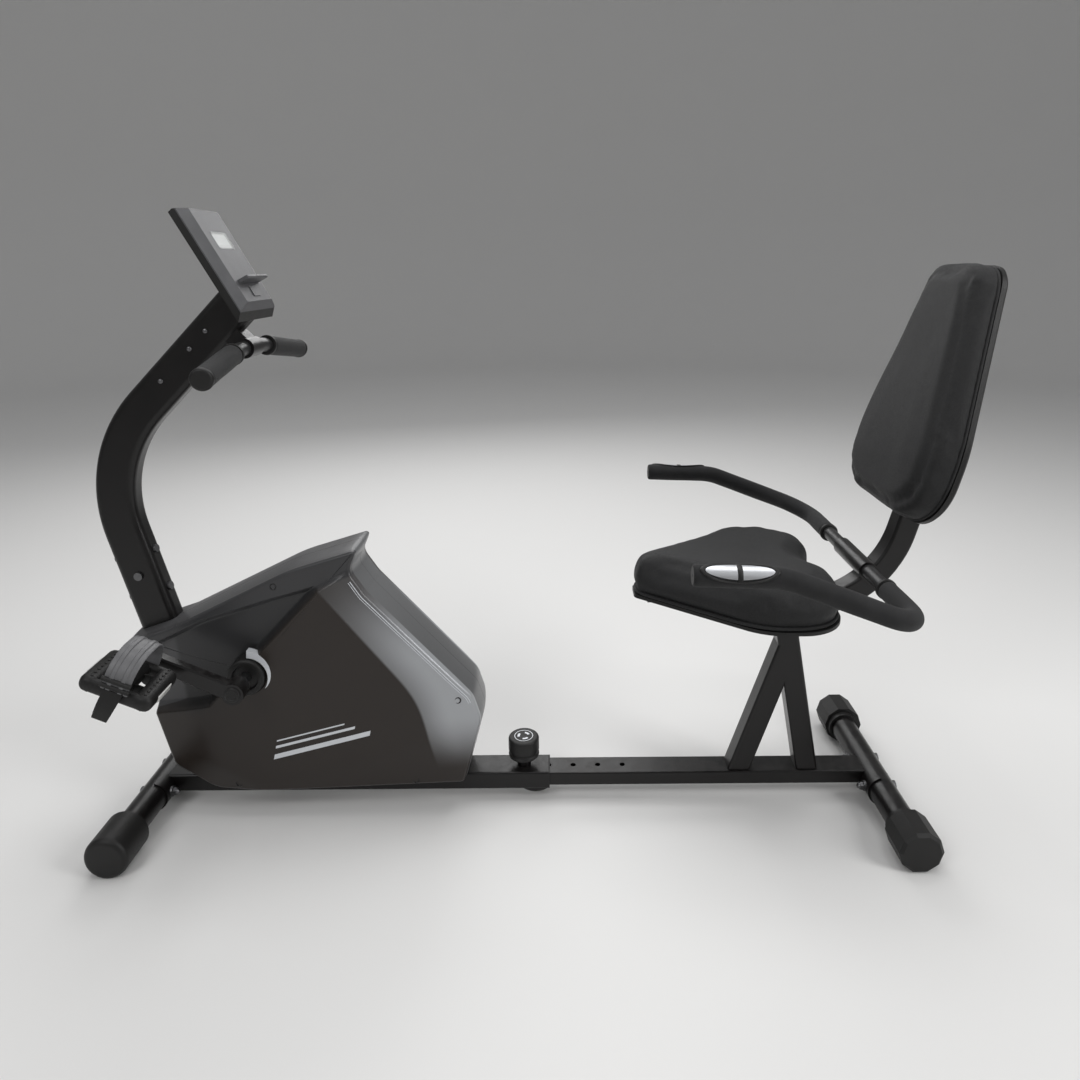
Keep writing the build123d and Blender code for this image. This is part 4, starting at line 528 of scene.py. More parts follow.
@dataclass(frozen=True)
class Ground(Finish):
    """Matt floor with faint clouds."""

    def paint(self, graph: Graph) -> None:
        """Fill the graph.

        Args:
            graph: Graph of the material.
        """
        cloud = graph.speckle(3.0, 4.0)
        graph.surface(
            Base_Color=graph.mix(cloud * 0.25, self.colour, tinted(self.colour, 0.94)),
            Roughness=self.roughness + cloud * 0.1,
        )


@dataclass(frozen=True)
class Ink(Finish):
    """Printed or foil graphic with a light metallic flake."""

    metallic: float = 0.35

    def paint(self, graph: Graph) -> None:
        """Fill the graph.

        Args:
            graph: Graph of the material.
        """
        flake = graph.cells(3500.0)
        worn = graph.speckle(160.0, 6.0, 0.7).eased(0.62, 0.8)
        graph.surface(
            Base_Color=graph.mix(worn * 0.35 + flake * 0.2, self.colour, tinted(self.colour, 0.6)),
            Metallic=self.metallic,
            Roughness=self.roughness + flake * 0.15,
        )


# ---------------------------------------------------------------- outlines and shapes
def rounded(
    corners: Sequence[Vector], radii: Sequence[float], step: float, closed: bool = False
) -> list[Vector]:
    """Straight runs joined by tangent arcs.

    Args:
        corners: Corners in order.
        radii: Radius at each corner; the ends of an open run need none.
        step: Longest chord on an arc.
        closed: Whether the last corner joins the first.

    Returns:
        Points along the run.
    """
    count = len(corners)
    points = []
    for index, (corner, radius) in enumerate(zip(corners, radii)):
        if radius <= 0 or (not closed and index in (0, count - 1)):
            points.append(corner.copy())
            continue
        back = (corners[index - 1] - corner).normalized()
        on = (corners[(index + 1) % count] - corner).normalized()
        half = back.angle(on) / 2
        centre = corner + (back + on).normalized() * (radius / math.sin(half))
        start = corner + back * (radius / math.tan(half)) - centre
        end = corner + on * (radius / math.tan(half)) - centre
        turn = math.pi - 2 * half
        parts = max(2, math.ceil(turn * radius / step))
        for part in range(parts + 1):
            share = part / parts
            one = math.sin((1 - share) * turn) / math.sin(turn)
            two = math.sin(share * turn) / math.sin(turn)
            points.append(centre + start * one + end * two)
    return points


def evenly(points: Sequence[Vector], step: float, closed: bool = False) -> list[Vector]:
    """Respace a run of points.

    Args:
        points: The run.
        step: Spacing wanted.
        closed: Whether the last point joins the first.

    Returns:
        Points an equal length apart.
    """
    run = [*points, points[0]] if closed else list(points)
    lengths = [(b - a).length for a, b in zip(run, run[1:])]
    total = sum(lengths)
    count = max(2, round(total / step))
    made, index, passed = [], 0, 0.0
    for number in range(count if closed else count + 1):
        target = total * number / count
        while index < len(lengths) - 1 and passed + lengths[index] < target:
            passed += lengths[index]
            index += 1
        share = (target - passed) / max(lengths[index], 1e-9)
        made.append(run[index].lerp(run[index + 1], min(1.0, share)))
    return made


def circle(radius: float, count: int = ROUND) -> list[Point]:
    """Points round a circle.

    Args:
        radius: Its radius.
        count: How many points.

    Returns:
        The points, as a section to carry along a path.
    """
    turns = [math.tau * k / count for k in range(count)]
    return [(radius * math.cos(turn), radius * math.sin(turn)) for turn in turns]


def relaxed(loop: Sequence[Vector], passes: int = 4) -> list[Vector]:
    """Average each point of a loop with its neighbours.

    Args:
        loop: The loop.
        passes: How often.

    Returns:
        The smoothed loop.
    """
    for _ in range(passes):
        loop = [(loop[i - 1] + point * 2 + loop[(i + 1) % len(loop)]) / 4 for i, point in enumerate(loop)]
    return list(loop)


def ease(value: float) -> float:
    """Smooth step of a share, held to 0..1."""
    held = min(1.0, max(0.0, value))
    return held * held * (3 - 2 * held)


class Shape:
    """Rings of points bridged into the faces of one mesh."""

    def __init__(self) -> None:
        """Start empty."""
        self.points: list[Vector] = []
        self.faces: list[tuple[int, ...]] = []

    def ring(self, points: Sequence[Vector]) -> list[int]:
        """Add points.

        Args:
            points: The points in order.

        Returns:
            Their numbers.
        """
        first = len(self.points)
        self.points.extend(Vector(point) for point in points)
        return list(range(first, len(self.points)))

    def bridge(self, one: Sequence[int], two: Sequence[int], closed: bool = True) -> None:
        """Join two rings with quads.

        Args:
            one: First ring.
            two: Second ring, of as many points.
            closed: Whether the rings are loops.
        """
        count = len(one)
        for i in range(count if closed else count - 1):
            j = (i + 1) % count
            self.faces.append((one[i], one[j], two[j], two[i]))

    def skin(self, rings: Sequence[Sequence[Vector]], closed: bool = True, capped: bool = True) -> None:
        """Join rings one after another.

        Args:
            rings: The rings.
            closed: Whether each is a loop.
            capped: Whether to close both ends.
        """
        numbers = [self.ring(points) for points in rings]
        for one, two in zip(numbers, numbers[1:]):
            self.bridge(one, two, closed)
        if capped:
            self.faces.append(tuple(numbers[0]))
            self.faces.append(tuple(reversed(numbers[-1])))

    def carried(
        self, path: Sequence[Vector], section: Sequence[Point], up: Vector, closed: bool = False,
        girth: Callable[[float], float] | None = None,
    ) -> None:
        """Carry a section along a path.

        Args:
            path: Points of the path.
            section: Outline of the section, across and along up.
            up: Direction that the section's second number follows.
            closed: Whether the path is a loop.
            girth: Scale of the section at a length along the path.
        """
        count = len(path)
        normal, rings, gone = Vector(up), [], 0.0
        for index, point in enumerate(path):
            before = path[index - 1] if index or closed else point
            after = path[(index + 1) % count] if index < count - 1 or closed else point
            along = (after - before).normalized()
            normal = (normal - along * normal.dot(along)).normalized()
            across = along.cross(normal)
            scale = girth(gone) if girth else 1.0
            rings.append([point + across * (a * scale) + normal * (b * scale) for a, b in section])
            gone += (after - point).length
        if closed:
            rings.append(rings[0])
        self.skin(rings, capped=not closed)

    def turned(
        self, centre: Vector, axis: Vector, profile: Sequence[Point], count: int = ROUND,
        open_end: bool = False,
    ) -> None:
        """Turn a profile about an axis.

        Args:
            centre: Point on the axis.
            axis: Direction of the axis.
            profile: Distance along the axis and radius, in order.
            count: Points round.
            open_end: Whether the ends stay open.
        """
        along = Vector(axis).normalized()
        first = along.orthogonal().normalized()
        second = along.cross(first)
        rings = [
            [centre + along * far + first * a + second * b for a, b in circle(max(radius, 1e-5), count)]
            for far, radius in profile
        ]
        self.skin(rings, capped=not open_end)

    def build(self, name: str, sharp: float = 38.0) -> bpy.types.Object:
        """Make the mesh.

        Args:
            name: Name of the piece.
            sharp: Angle in degrees over which an edge is not smoothed.

        Returns:
            The new object.
        """
        mesh = bpy.data.meshes.new(name)
        mesh.from_pydata(self.points, [], self.faces)
        working = bmesh.new()
        working.from_mesh(mesh)
        bmesh.ops.remove_doubles(working, verts=working.verts, dist=1e-6)
        bmesh.ops.recalc_face_normals(working, faces=working.faces)
        working.to_mesh(mesh)
        working.free()
        mesh.shade_smooth()
        mesh.set_sharp_from_angle(angle=math.radians(sharp))
        made = bpy.data.objects.new(name, mesh)
        bpy.context.scene.collection.objects.link(made)
        return made


def fit(
    piece: bpy.types.Object, body: str, finish: Finish, replaces: Sequence[str] = (),
) -> bpy.types.Object:
    """Dress a piece and put it on a body.

    Args:
        piece: The piece in place.
        body: Body that it rides on.
        finish: Its surface.
        replaces: Frame nodes that it stands for.

    Returns:
        The piece.
    """
    piece.data.materials.clear()
    piece.data.materials.append(finish.material())
    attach(piece, body)
    if replaces:
        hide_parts(*replaces)
    LOG.info("%s on %s, %s, %d faces", piece.name, body, finish.name, len(piece.data.polygons))
    return piece


def evaluated(piece: bpy.types.Object) -> bpy.types.Mesh:
    """The piece's mesh with its modifiers applied."""
    graph = bpy.context.evaluated_depsgraph_get()
    return bpy.data.meshes.new_from_object(piece.evaluated_get(graph))


def contour(mesh: bpy.types.Mesh, point: Vector, normal: Vector, step: float) -> list[Vector]:
    """Longest loop in which a plane cuts a mesh.

    Args:
        mesh: The mesh.
        point: Point on the plane.
        normal: Normal of the plane.
        step: Spacing of the points returned.

    Returns:
        The loop, evenly spaced.
    """
    working = bmesh.new()
    working.from_mesh(mesh)
    everything = [*working.verts, *working.edges, *working.faces]
    cut = bmesh.ops.bisect_plane(working, geom=everything, plane_co=point, plane_no=normal)
    edges = dict.fromkeys(item for item in cut["geom_cut"] if isinstance(item, bmesh.types.BMEdge))
    loops = []
    while edges:
        edge, _ = edges.popitem()
        start, here = edge.verts
        loop = [start.co.copy(), here.co.copy()]
        while here is not start:
            onward = [e for e in here.link_edges if e in edges]
            if not onward:
                break
            del edges[onward[0]]
            here = onward[0].other_vert(here)
            loop.append(here.co.copy())
        loops.append(loop[:-1])
    working.free()
    longest = max(loops, key=lambda loop: sum((b - a).length for a, b in zip(loop, loop[1:])))
    return relaxed(evenly(longest, step, closed=True))


# ---------------------------------------------------------------- finishes of this bike
BLACK_COAT = PowderCoat("black_powder_coat", "black_paint", (0.0036, 0.0030, 0.0030), 0.26)
HANDLE_COAT = PowderCoat("grey_handle_coat", "handle_paint", (0.016, 0.016, 0.0165), 0.32)
BLACK_MOULDING = MouldedPlastic("black_moulding", "black_plastic", (0.0075, 0.0072, 0.0070), 0.44)
SHELL_GREY = MouldedPlastic("console_moulding", "console_plastic", (0.070, 0.070, 0.074), 0.42)
BLACK_FOAM = Foam("grip_foam", "foam", (0.012, 0.012, 0.0125), 0.72)
BLACK_VINYL = Vinyl("seat_vinyl", "upholstery", (0.0155, 0.0155, 0.016), 0.52)
ZINC = Metal("black_zinc", "steel", (0.16, 0.16, 0.165), 0.26)
CONTACT = Metal("contact_plate", "plated_contact", (0.60, 0.61, 0.63), 0.30, (900.0, 60.0, 60.0), 0.15)
STRAP_GREY = Ribbed("strap_rubber_grey", "strap_rubber", (0.13, 0.13, 0.135), 0.45)
BELT_BLACK = Ribbed("belt_rubber_black", "belt_rubber", (0.02, 0.02, 0.02), 0.6)
PULLEY_BLACK = MouldedPlastic("pulley_moulding", "pulley_plastic", (0.03, 0.03, 0.03), 0.5)
TURNED_IRON = Metal("turned_iron", "flywheel_iron", (0.30, 0.29, 0.28), 0.36)
CLEAR_WINDOW = Window("clear_window", "lens", (0.6, 0.62, 0.61), 0.08)
SOLDER_MASK = MouldedPlastic("solder_mask", "circuit_board", (0.01, 0.09, 0.03), 0.35)
LCD = Display("display_glass", "lens", (0.17, 0.185, 0.18), 0.3)
SEGMENT = Ink("display_segment", "lens", (0.05, 0.055, 0.05), 0.4, 0.0)
SILVER_INK = Ink("silver_ink", "shroud_plastic", (0.66, 0.68, 0.71), 0.34, 0.25)
REFLECTOR = Ink("reflector_lens", "black_plastic", (0.62, 0.62, 0.60), 0.18, 0.0)
PALE_FLOOR = Ground("pale_floor", "", (0.74, 0.735, 0.725), 0.62)

FRAME_FINISHES: dict[str, Finish] = {
    finish.slot: finish
    for finish in (
        BLACK_COAT, HANDLE_COAT, BLACK_MOULDING, SHELL_GREY, BLACK_FOAM, BLACK_VINYL, ZINC, CONTACT,
        STRAP_GREY, BELT_BLACK, PULLEY_BLACK, TURNED_IRON, CLEAR_WINDOW, SOLDER_MASK,
    )
}


def dress_frame() -> None:
    """Give every frame node that stays the finish of its slot."""
    for name, node in sorted(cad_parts.items()):
        for holder in node.material_slots:
            finish = FRAME_FINISHES.get(holder.material.name)
            if finish is not None:
                holder.material = finish.material()
        LOG.info("%s dressed", name)


# ---------------------------------------------------------------- shroud
@dataclass(frozen=True)
class Crease:
    """Fold line on the shroud's side, in x and z; the skin falls away to the left of its run."""

    start: Point
    end: Point
    slope: float

    def beyond(self, x: "float | Value", z: "float | Value") -> "float | Value":
        """Distance past the fold.

        Args:
            x: Place along the bike.
            z: Height.

        Returns:
            The signed distance, positive where the skin falls.
        """
        run = Vector(self.end) - Vector(self.start)
        run.normalize()
        return (z - self.start[1]) * run.x - (x - self.start[0]) * run.y


@dataclass(frozen=True)
class ShroudSkin(Finish):
    """Graphite moulding: brown-black side panel, silver bevel behind it, grey hood above, with painted
    shading on the bevel, painted shade in the dip below the hood and a painted highlight on the rim wall's
    rear.
    """

    panel: Colour = (0.0190, 0.0145, 0.0120)
    silver: Colour = (0.36, 0.37, 0.385)
    hood: Colour = (0.040, 0.040, 0.042)
    # Painted highlight: light grey of the rim wall's rear part.
    rear: Colour = (0.125, 0.127, 0.130)
    # Painted shade: colour of the dip below the hood.
    recess_painted_shade: Colour = (0.0095, 0.0095, 0.0100)
    bevel: Crease = Crease((0, 0), (1, 0), 0)
    corner: Crease = Crease((0, 0), (1, 0), 0)
    top: Crease = Crease((0, 0), (1, 0), 0)
    dip: Crease = Crease((0, 0), (1, 0), 0)
    corner_softness: float = 0.035
    # Heights over which the silver bevel's painted shading ramps it in from below and fades it towards the
    # top.
    silver_painted_shade_z: tuple[float, float, float, float] = (0.085, 0.200, 0.30, 0.46)

    def paint(self, graph: Graph) -> None:
        """Fill the graph.

        Args:
            graph: Graph of the material.
        """
        x, y, z = graph.axes()
        past = self.bevel.beyond(x, z).most_softly(self.corner.beyond(x, z), self.corner_softness)
        above = self.top.beyond(x, z)
        low, bright, fade, high = self.silver_painted_shade_z
        # Silver bevel mask with painted shading: darker next to the panel, ramping in from below and fading
        # towards the top.
        silver_and_painted_shade = past.eased(-0.002, 0.004) * (past.eased(-0.01, 0.05) * 0.55 + 0.45)
        silver_and_painted_shade = silver_and_painted_shade * z.eased(low, bright) * (1 - z.eased(fade, high) * 0.85)
        hooded = above.eased(-0.002, 0.004)
        mottle = graph.speckle(6.0, 3.0)
        panel = graph.mix(mottle, self.panel, tinted(self.panel, 1.2))
        sunk = self.dip.beyond(x, z)
        # Painted shade: the dip below the hood is painted dark, easing towards the hood's grey near the hood
        # line.
        shade = graph.mix(above.eased(-0.15, 0.0) * 0.55, self.recess_painted_shade, self.hood)
        panel = graph.mix(sunk.eased(-0.001, 0.010) * z.eased(0.200, 0.235), panel, shade)
        side = graph.mix(silver_and_painted_shade, panel, self.silver)
        wall = abs(y).eased(0.0480, 0.0460)
        # Rim wall: the hood's grey lightened at the front, and a light grey painted highlight towards the
        # rear.
        back = graph.mix(x.eased(-0.340, -0.315), tinted(self.hood, 1.4), self.rear)
        skin = graph.mix(wall, graph.mix(hooded, side, self.hood), back)
        flake = graph.cells(2600.0)
        dusty = graph.upward().eased(0.5, 1.0) * graph.speckle(50.0, 5.0, 0.65)
        graph.surface(
            Base_Color=graph.mix(dusty * 0.18, skin, (0.16, 0.155, 0.15)),
            Metallic=silver_and_painted_shade * 0.3,
            Roughness=self.roughness + flake * 0.07 + mottle * 0.05 + dusty * 0.15,
            Normal=graph.relief(graph.speckle(1100.0, 2.0), 0.0003, 0.3),
            Specular_IOR_Level=0.3,
            Coat_Weight=0.12,
            Coat_Roughness=0.2,
        )


@dataclass(eq=False)
class Shroud:
    """Two moulded halves round the drive, with a raised panel, a bevel and a hood on each side."""

    corners: tuple = (
        (-0.737, 0.345, 0.006), (-0.655, 0.373, 0.012), (-0.440, 0.478, 0.300), (-0.308, 0.518, 0.009),
        (-0.327, 0.474, 0.022), (-0.301, 0.434, 0.045), (-0.116, 0.234, 0.045), (-0.101, 0.186, 0.045),
        (-0.137, 0.051, 0.012), (-0.600, 0.049, 0.060), (-0.672, 0.101, 0.035), (-0.716, 0.262, 0.090),
    )
    hood_line: tuple = ((-0.760, 0.290), (-0.656, 0.347), (-0.590, 0.381), (-0.462, 0.421), (-0.374, 0.446),
                        (-0.315, 0.478), (-0.250, 0.560))
    panel: float = 0.0715
    hood: float = 0.0585
    softness: float = 0.0013
    dip_depth: float = 0.020
    dip_wall: float = 0.015
    dip_round: float = 0.036
    hood_step: float = 0.012
    fin_foot: float = 0.060
    fin_top: float = 0.0722
    fin_turns: Point = (86.0, -36.0)
    fin_inner: Point = (0.0350, 0.0390)
    fin_width: float = 0.0138
    fin_tip: float = 0.0003
    seam: float = 0.0007
    lip: float = 0.003
    roll_parts: int = 6
    crown_parts: int = 8
    beads: tuple = ((0.0115, 0.0009), (0.0150, 0.0006))
    bead_heights: Point = (0.222, 0.462)
    roll: float = 0.0055
    crown: float = 0.004
    hole: float = 0.016
    probe: float = 0.0008
    step: float = 0.0034
    boss: tuple = ((0.045, 0.0335), (0.0775, 0.0335), (0.0795, 0.0315), (0.0800, 0.0290), (0.0795, 0.0240),
                   (0.0760, 0.0225), (0.0740, 0.0215), (0.0740, 0.0190))
    screws: tuple = ((-0.459, 0.446), (-0.140, 0.226), (-0.545, 0.067), (-0.222, 0.064))
    pit: tuple = ((-0.004, 0.0001), (-0.0025, 0.0018), (-0.0012, 0.0034), (0.0006, 0.0048), (0.0008, 0.0054),
                  (0.0001, 0.0062), (-0.002, 0.0062))
    stripes: tuple = ((0.012, 0.182, 0.0100), (0.034, 0.150, 0.0055), (0.048, 0.128, 0.0030))
    stripe_foot: Point = (-0.478, 0.108)
    stripe_tilt: float = math.radians(14.6)
    stripe_lean: float = math.radians(12)
    stripe_lift: float = 0.0004
    creases: dict[str, Crease] = field(default_factory=lambda: {
        "bevel": Crease((-0.377, 0.439), (-0.210, 0.232), 0.19),
        "corner": Crease((-0.210, 0.232), (-0.196, 0.165), 0.17),
        "lower": Crease((-0.202, 0.150), (-0.496, 0.066), 0.20),
        "front_lower": Crease((-0.500, 0.064), (-0.596, 0.120), 0.26),
        "front": Crease((-0.596, 0.120), (-0.604, 0.200), 0.16),
    })
    dip_edges: tuple[Crease, Crease] = (
        Crease((-0.492, 0.318), (-0.377, 0.439), 0.0), Crease((-0.640, 0.212), (-0.513, 0.236), 0.0),
    )

    def __post_init__(self) -> None:
        """Place the outline on the frame's shroud."""
        low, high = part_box("shroud_left")
        corners = [Vector((x, 0, z)) for x, z, _ in self.corners]
        raw = rounded(corners, [radius for _, _, radius in self.corners], self.step, closed=True)
        shift = low.x - min(point.x for point in raw)
        self.outline = evenly([point + Vector((shift, 0, 0)) for point in raw], self.step, closed=True)
        axle_low, axle_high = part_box("crank_axle")
        self.crank = (axle_low + axle_high) / 2
        self.skin = ShroudSkin(
            "graphite_shroud", "shroud_plastic", (0.05, 0.047, 0.045), 0.27,
            bevel=self.creases["bevel"], corner=self.creases["corner"],
            top=Crease((-0.656, 0.350), (-0.374, 0.446), 0.0), dip=self.dip_edges[0],
        )

    def hood_edge(self, x: float) -> float:
        """Height of the hood's lower edge at a place along the bike.

        Args:
            x: Place along the bike.

        Returns:
            The height.
        """
        for (x0, z0), (x1, z1) in zip(self.hood_line, self.hood_line[1:]):
            if x <= x1:
                return z0 + (z1 - z0) * (x - x0) / (x1 - x0)
        return self.hood_line[-1][1]

    @functools.lru_cache(maxsize=None)
    def depth(self, x: float, z: float) -> float:
        """Distance of the skin from the plane of symmetry.

        Args:
            x: Place along the bike.
            z: Height.

        Returns:
            The distance.
        """
        slanted, level = (edge.beyond(x, z) for edge in self.dip_edges)
        near = self.dip_round - math.hypot(x - self.crank.x, z - self.crank.z)
        sunk = max(min(slanted, level), near)
        folds = self.creases.values()
        facets = [self.panel, *(self.panel - fold.slope * fold.beyond(x, z) for fold in folds)]
        lowest = min(facets)
        total = sum(math.exp((lowest - facet) / self.softness) for facet in facets)
        body = lowest - self.softness * math.log(total) - self.dip_depth * ease(sunk / self.dip_wall)
        lift = ease((z - self.hood_edge(x)) / self.hood_step + 0.5)
        return body + (self.hood - body) * lift

    def facing(self, x: float, z: float, side: int) -> Vector:
        """Outward normal of the side skin.

        Args:
            x: Place along the bike.
            z: Height.
            side: Sign of the side.

        Returns:
            The normal.
        """
        near = self.probe
        along = (self.depth(x + near, z) - self.depth(x - near, z)) / (2 * near)
        upward = (self.depth(x, z + near) - self.depth(x, z - near)) / (2 * near)
        return Vector((-along, side, -upward)).normalized()

    def on_skin(self, x: float, z: float, side: Side, lift: float = 0.0) -> Vector:
        """Point a little off the side skin."""
        return Vector((x, side.value * (self.depth(x, z) + lift), z))

    def outward(self) -> list[Vector]:
        """Outward normal of the outline at each of its points.

        Returns:
            The normals, in the order of the outline.
        """
        count = len(self.outline)
        found = []
        for index, point in enumerate(self.outline):
            run = self.outline[(index + 1) % count] - self.outline[index - 1]
            normal = Vector((run.z, 0, -run.x)).normalized()
            away = point - Vector((self.crank.x, 0, self.crank.z))
            found.append(normal if normal.dot(away) > 0 else -normal)
        return found

    def half(self, side: Side) -> bpy.types.Object:
        """Build one moulded half.

        Args:
            side: Which half.

        Returns:
            The shell.
        """
        sign = side.value
        centre = Vector((self.crank.x, 0, self.crank.z))
        outward = self.outward()
        inset = self.roll + self.crown
        ends = [point - normal * inset for point, normal in zip(self.outline, outward)]
        hub = [centre + (end - centre).normalized() * self.hole for end in ends]
        rings, normals = [], []
        reach = max((end - start).length for start, end in zip(hub, ends))
        count = math.ceil(reach / self.step)
        for number in range(count + 1):
            row = [start.lerp(end, number / count) for start, end in zip(hub, ends)]
            rings.append([self.on_skin(p.x, p.z, side) for p in row])
            normals.append([self.facing(p.x, p.z, sign) for p in row])
        depths = [self.depth(p.x, p.z) for p in ends]
        faces = [self.facing(p.x, p.z, sign) for p in ends]
        for part in range(1, self.roll_parts + 1):
            turn = part / self.roll_parts * math.pi / 2
            drop = self.roll * (1 - math.cos(turn))
            rings.append([
                point + normal * (self.roll * math.sin(turn)) + SIDEWAYS * (sign * (deep - drop))
                for point, normal, deep in zip(ends, outward, depths)
            ])
            normals.append([
                (face * math.cos(turn) + normal * math.sin(turn)).normalized()
                for face, normal in zip(faces, outward)
            ])
        for part in range(1, self.crown_parts + 1):
            share = part / self.crown_parts
            bulge = self.crown * (1 - (1 - share) ** 2)
            rings.append([
                point + normal * (self.roll + bulge)
                + SIDEWAYS * (sign * max(self.seam, (deep - self.roll) * (1 - share)))
                for point, normal, deep in zip(ends, outward, depths)
            ])
            normals.append([
                (normal + Vector((0, sign * 2 * self.crown * (1 - share) / deep, 0))).normalized()
                for normal, deep in zip(outward, depths)
            ])
        rings.append([
            point - normal * self.lip + SIDEWAYS * (sign * self.seam)
            for point, normal in zip(self.outline, outward)
        ])
        normals.append([SIDEWAYS * -sign] * len(outward))
        shape = Shape()
        shape.skin(rings, capped=False)
        mesh = bpy.data.meshes.new(f"shroud_{side.label}_shell")
        first = shape.faces[len(shape.faces) // 3]
        corners = [shape.points[index] for index in first]
        facing = (corners[1] - corners[0]).cross(corners[2] - corners[1]).y * sign
        faces_out = shape.faces if facing > 0 else [tuple(reversed(face)) for face in shape.faces]
        mesh.from_pydata(shape.points, [], faces_out)
        mesh.shade_smooth()
        mesh.normals_split_custom_set_from_vertices([normal for row in normals for normal in row])
        shell = bpy.data.objects.new(mesh.name, mesh)
        bpy.context.scene.collection.objects.link(shell)
        return shell

    def crank_boss(self, side: Side) -> bpy.types.Object:
        """Dark ring round the crank axle.

        Args:
            side: Which side.

        Returns:
            The new piece.
        """
        shape = Shape()
        middle = Vector((self.crank.x, 0, self.crank.z))
        shape.turned(middle, SIDEWAYS * side.value, self.boss, 64)
        return shape.build(f"crank_boss_{side.label}")

    def trim(self, side: Side) -> bpy.types.Object:
        """Raised double bead along the rear edge of the bevel.

        Args:
            side: Which side.

        Returns:
            The new piece.
        """
        shape = Shape()
        outward = self.outward()
        low, high = self.bead_heights
        for inset, radius in self.beads:
            run = [
                self.on_skin(p.x - n.x * inset, p.z - n.z * inset, side)
                for p, n in zip(self.outline, outward)
                if n.x > 0.55 and low < p.z < high
            ]
            run = sorted(run, key=lambda point: point.z)
            shape.carried(evenly(run, 0.006), circle(radius, 8), SIDEWAYS * side.value)
        return shape.build(f"shroud_trim_{side.label}")

    def screw_pits(self, side: Side) -> bpy.types.Object:
        """Screws sunk in the side skin, each in its dished hole.

        Args:
            side: Which side.

        Returns:
            The new piece.
        """
        shape = Shape()
        for x, z in self.screws:
            deep = self.depth(x, z)
            profile = [(deep + rise, radius) for rise, radius in self.pit]
            shape.turned(Vector((x, 0, z)), SIDEWAYS * side.value, profile, 24)
        return shape.build(f"shroud_screws_{side.label}")

    def blade(self, side: Side) -> bpy.types.Object:
        """Raised silver fin beside the crank boss, tapering to a point below.

        Args:
            side: Which side.

        Returns:
            The new piece.
        """
        shape = Shape()
        rows = []
        (first, last), (near, far) = self.fin_turns, self.fin_inner
        middle = Vector((self.crank.x, 0, self.crank.z))
        parts = 40
        for number in range(parts + 1):
            share = number / parts
            turn = math.radians(first + (last - first) * share)
            inner = near + (far - near) * share
            outer = inner + self.fin_tip + self.fin_width * (1 - share) ** 0.8
            ends = (
                (inner, self.fin_foot), (outer, self.fin_foot), (outer, self.fin_top), (inner, self.fin_top)
            )
            out = Vector((math.cos(turn), 0, math.sin(turn)))
            rows.append([middle + out * radius + SIDEWAYS * (side.value * deep) for radius, deep in ends])
        shape.skin(rows)
        return shape.build(f"shroud_blade_{side.label}")

    def pin_stripes(self, side: Side) -> bpy.types.Object:
        """Three slanted stripes on the panel.

        Args:
            side: Which side.

        Returns:
            The new piece.
        """
        shape = Shape()
        along = Vector((math.cos(self.stripe_tilt), math.sin(self.stripe_tilt)))
        across = Vector((math.sin(self.stripe_lean), math.cos(self.stripe_lean)))
        for rise, length, thick in self.stripes:
            start = Vector(self.stripe_foot) + across * rise
            rows = [
                [start + along * (length * k / 24) + across * (thick * j / 3) for j in range(4)]
                for k in range(25)
            ]
            lifted = [[self.on_skin(p.x, p.y, side, self.stripe_lift) for p in row] for row in rows]
            shape.skin(lifted, closed=False, capped=False)
        return shape.build(f"shroud_stripes_{side.label}")

    def build(self) -> None:
        """Build and fit both sides."""
        for side in Side:
            fit(self.half(side), "frame", self.skin, [f"shroud_{side.label}"])
            fit(self.crank_boss(side), "frame", BLACK_MOULDING)
            fit(self.trim(side), "frame", SILVER_INK)
            fit(self.screw_pits(side), "frame", BLACK_COAT)
            fit(self.blade(side), "frame", SILVER_INK)
            fit(self.pin_stripes(side), "frame", SILVER_INK)


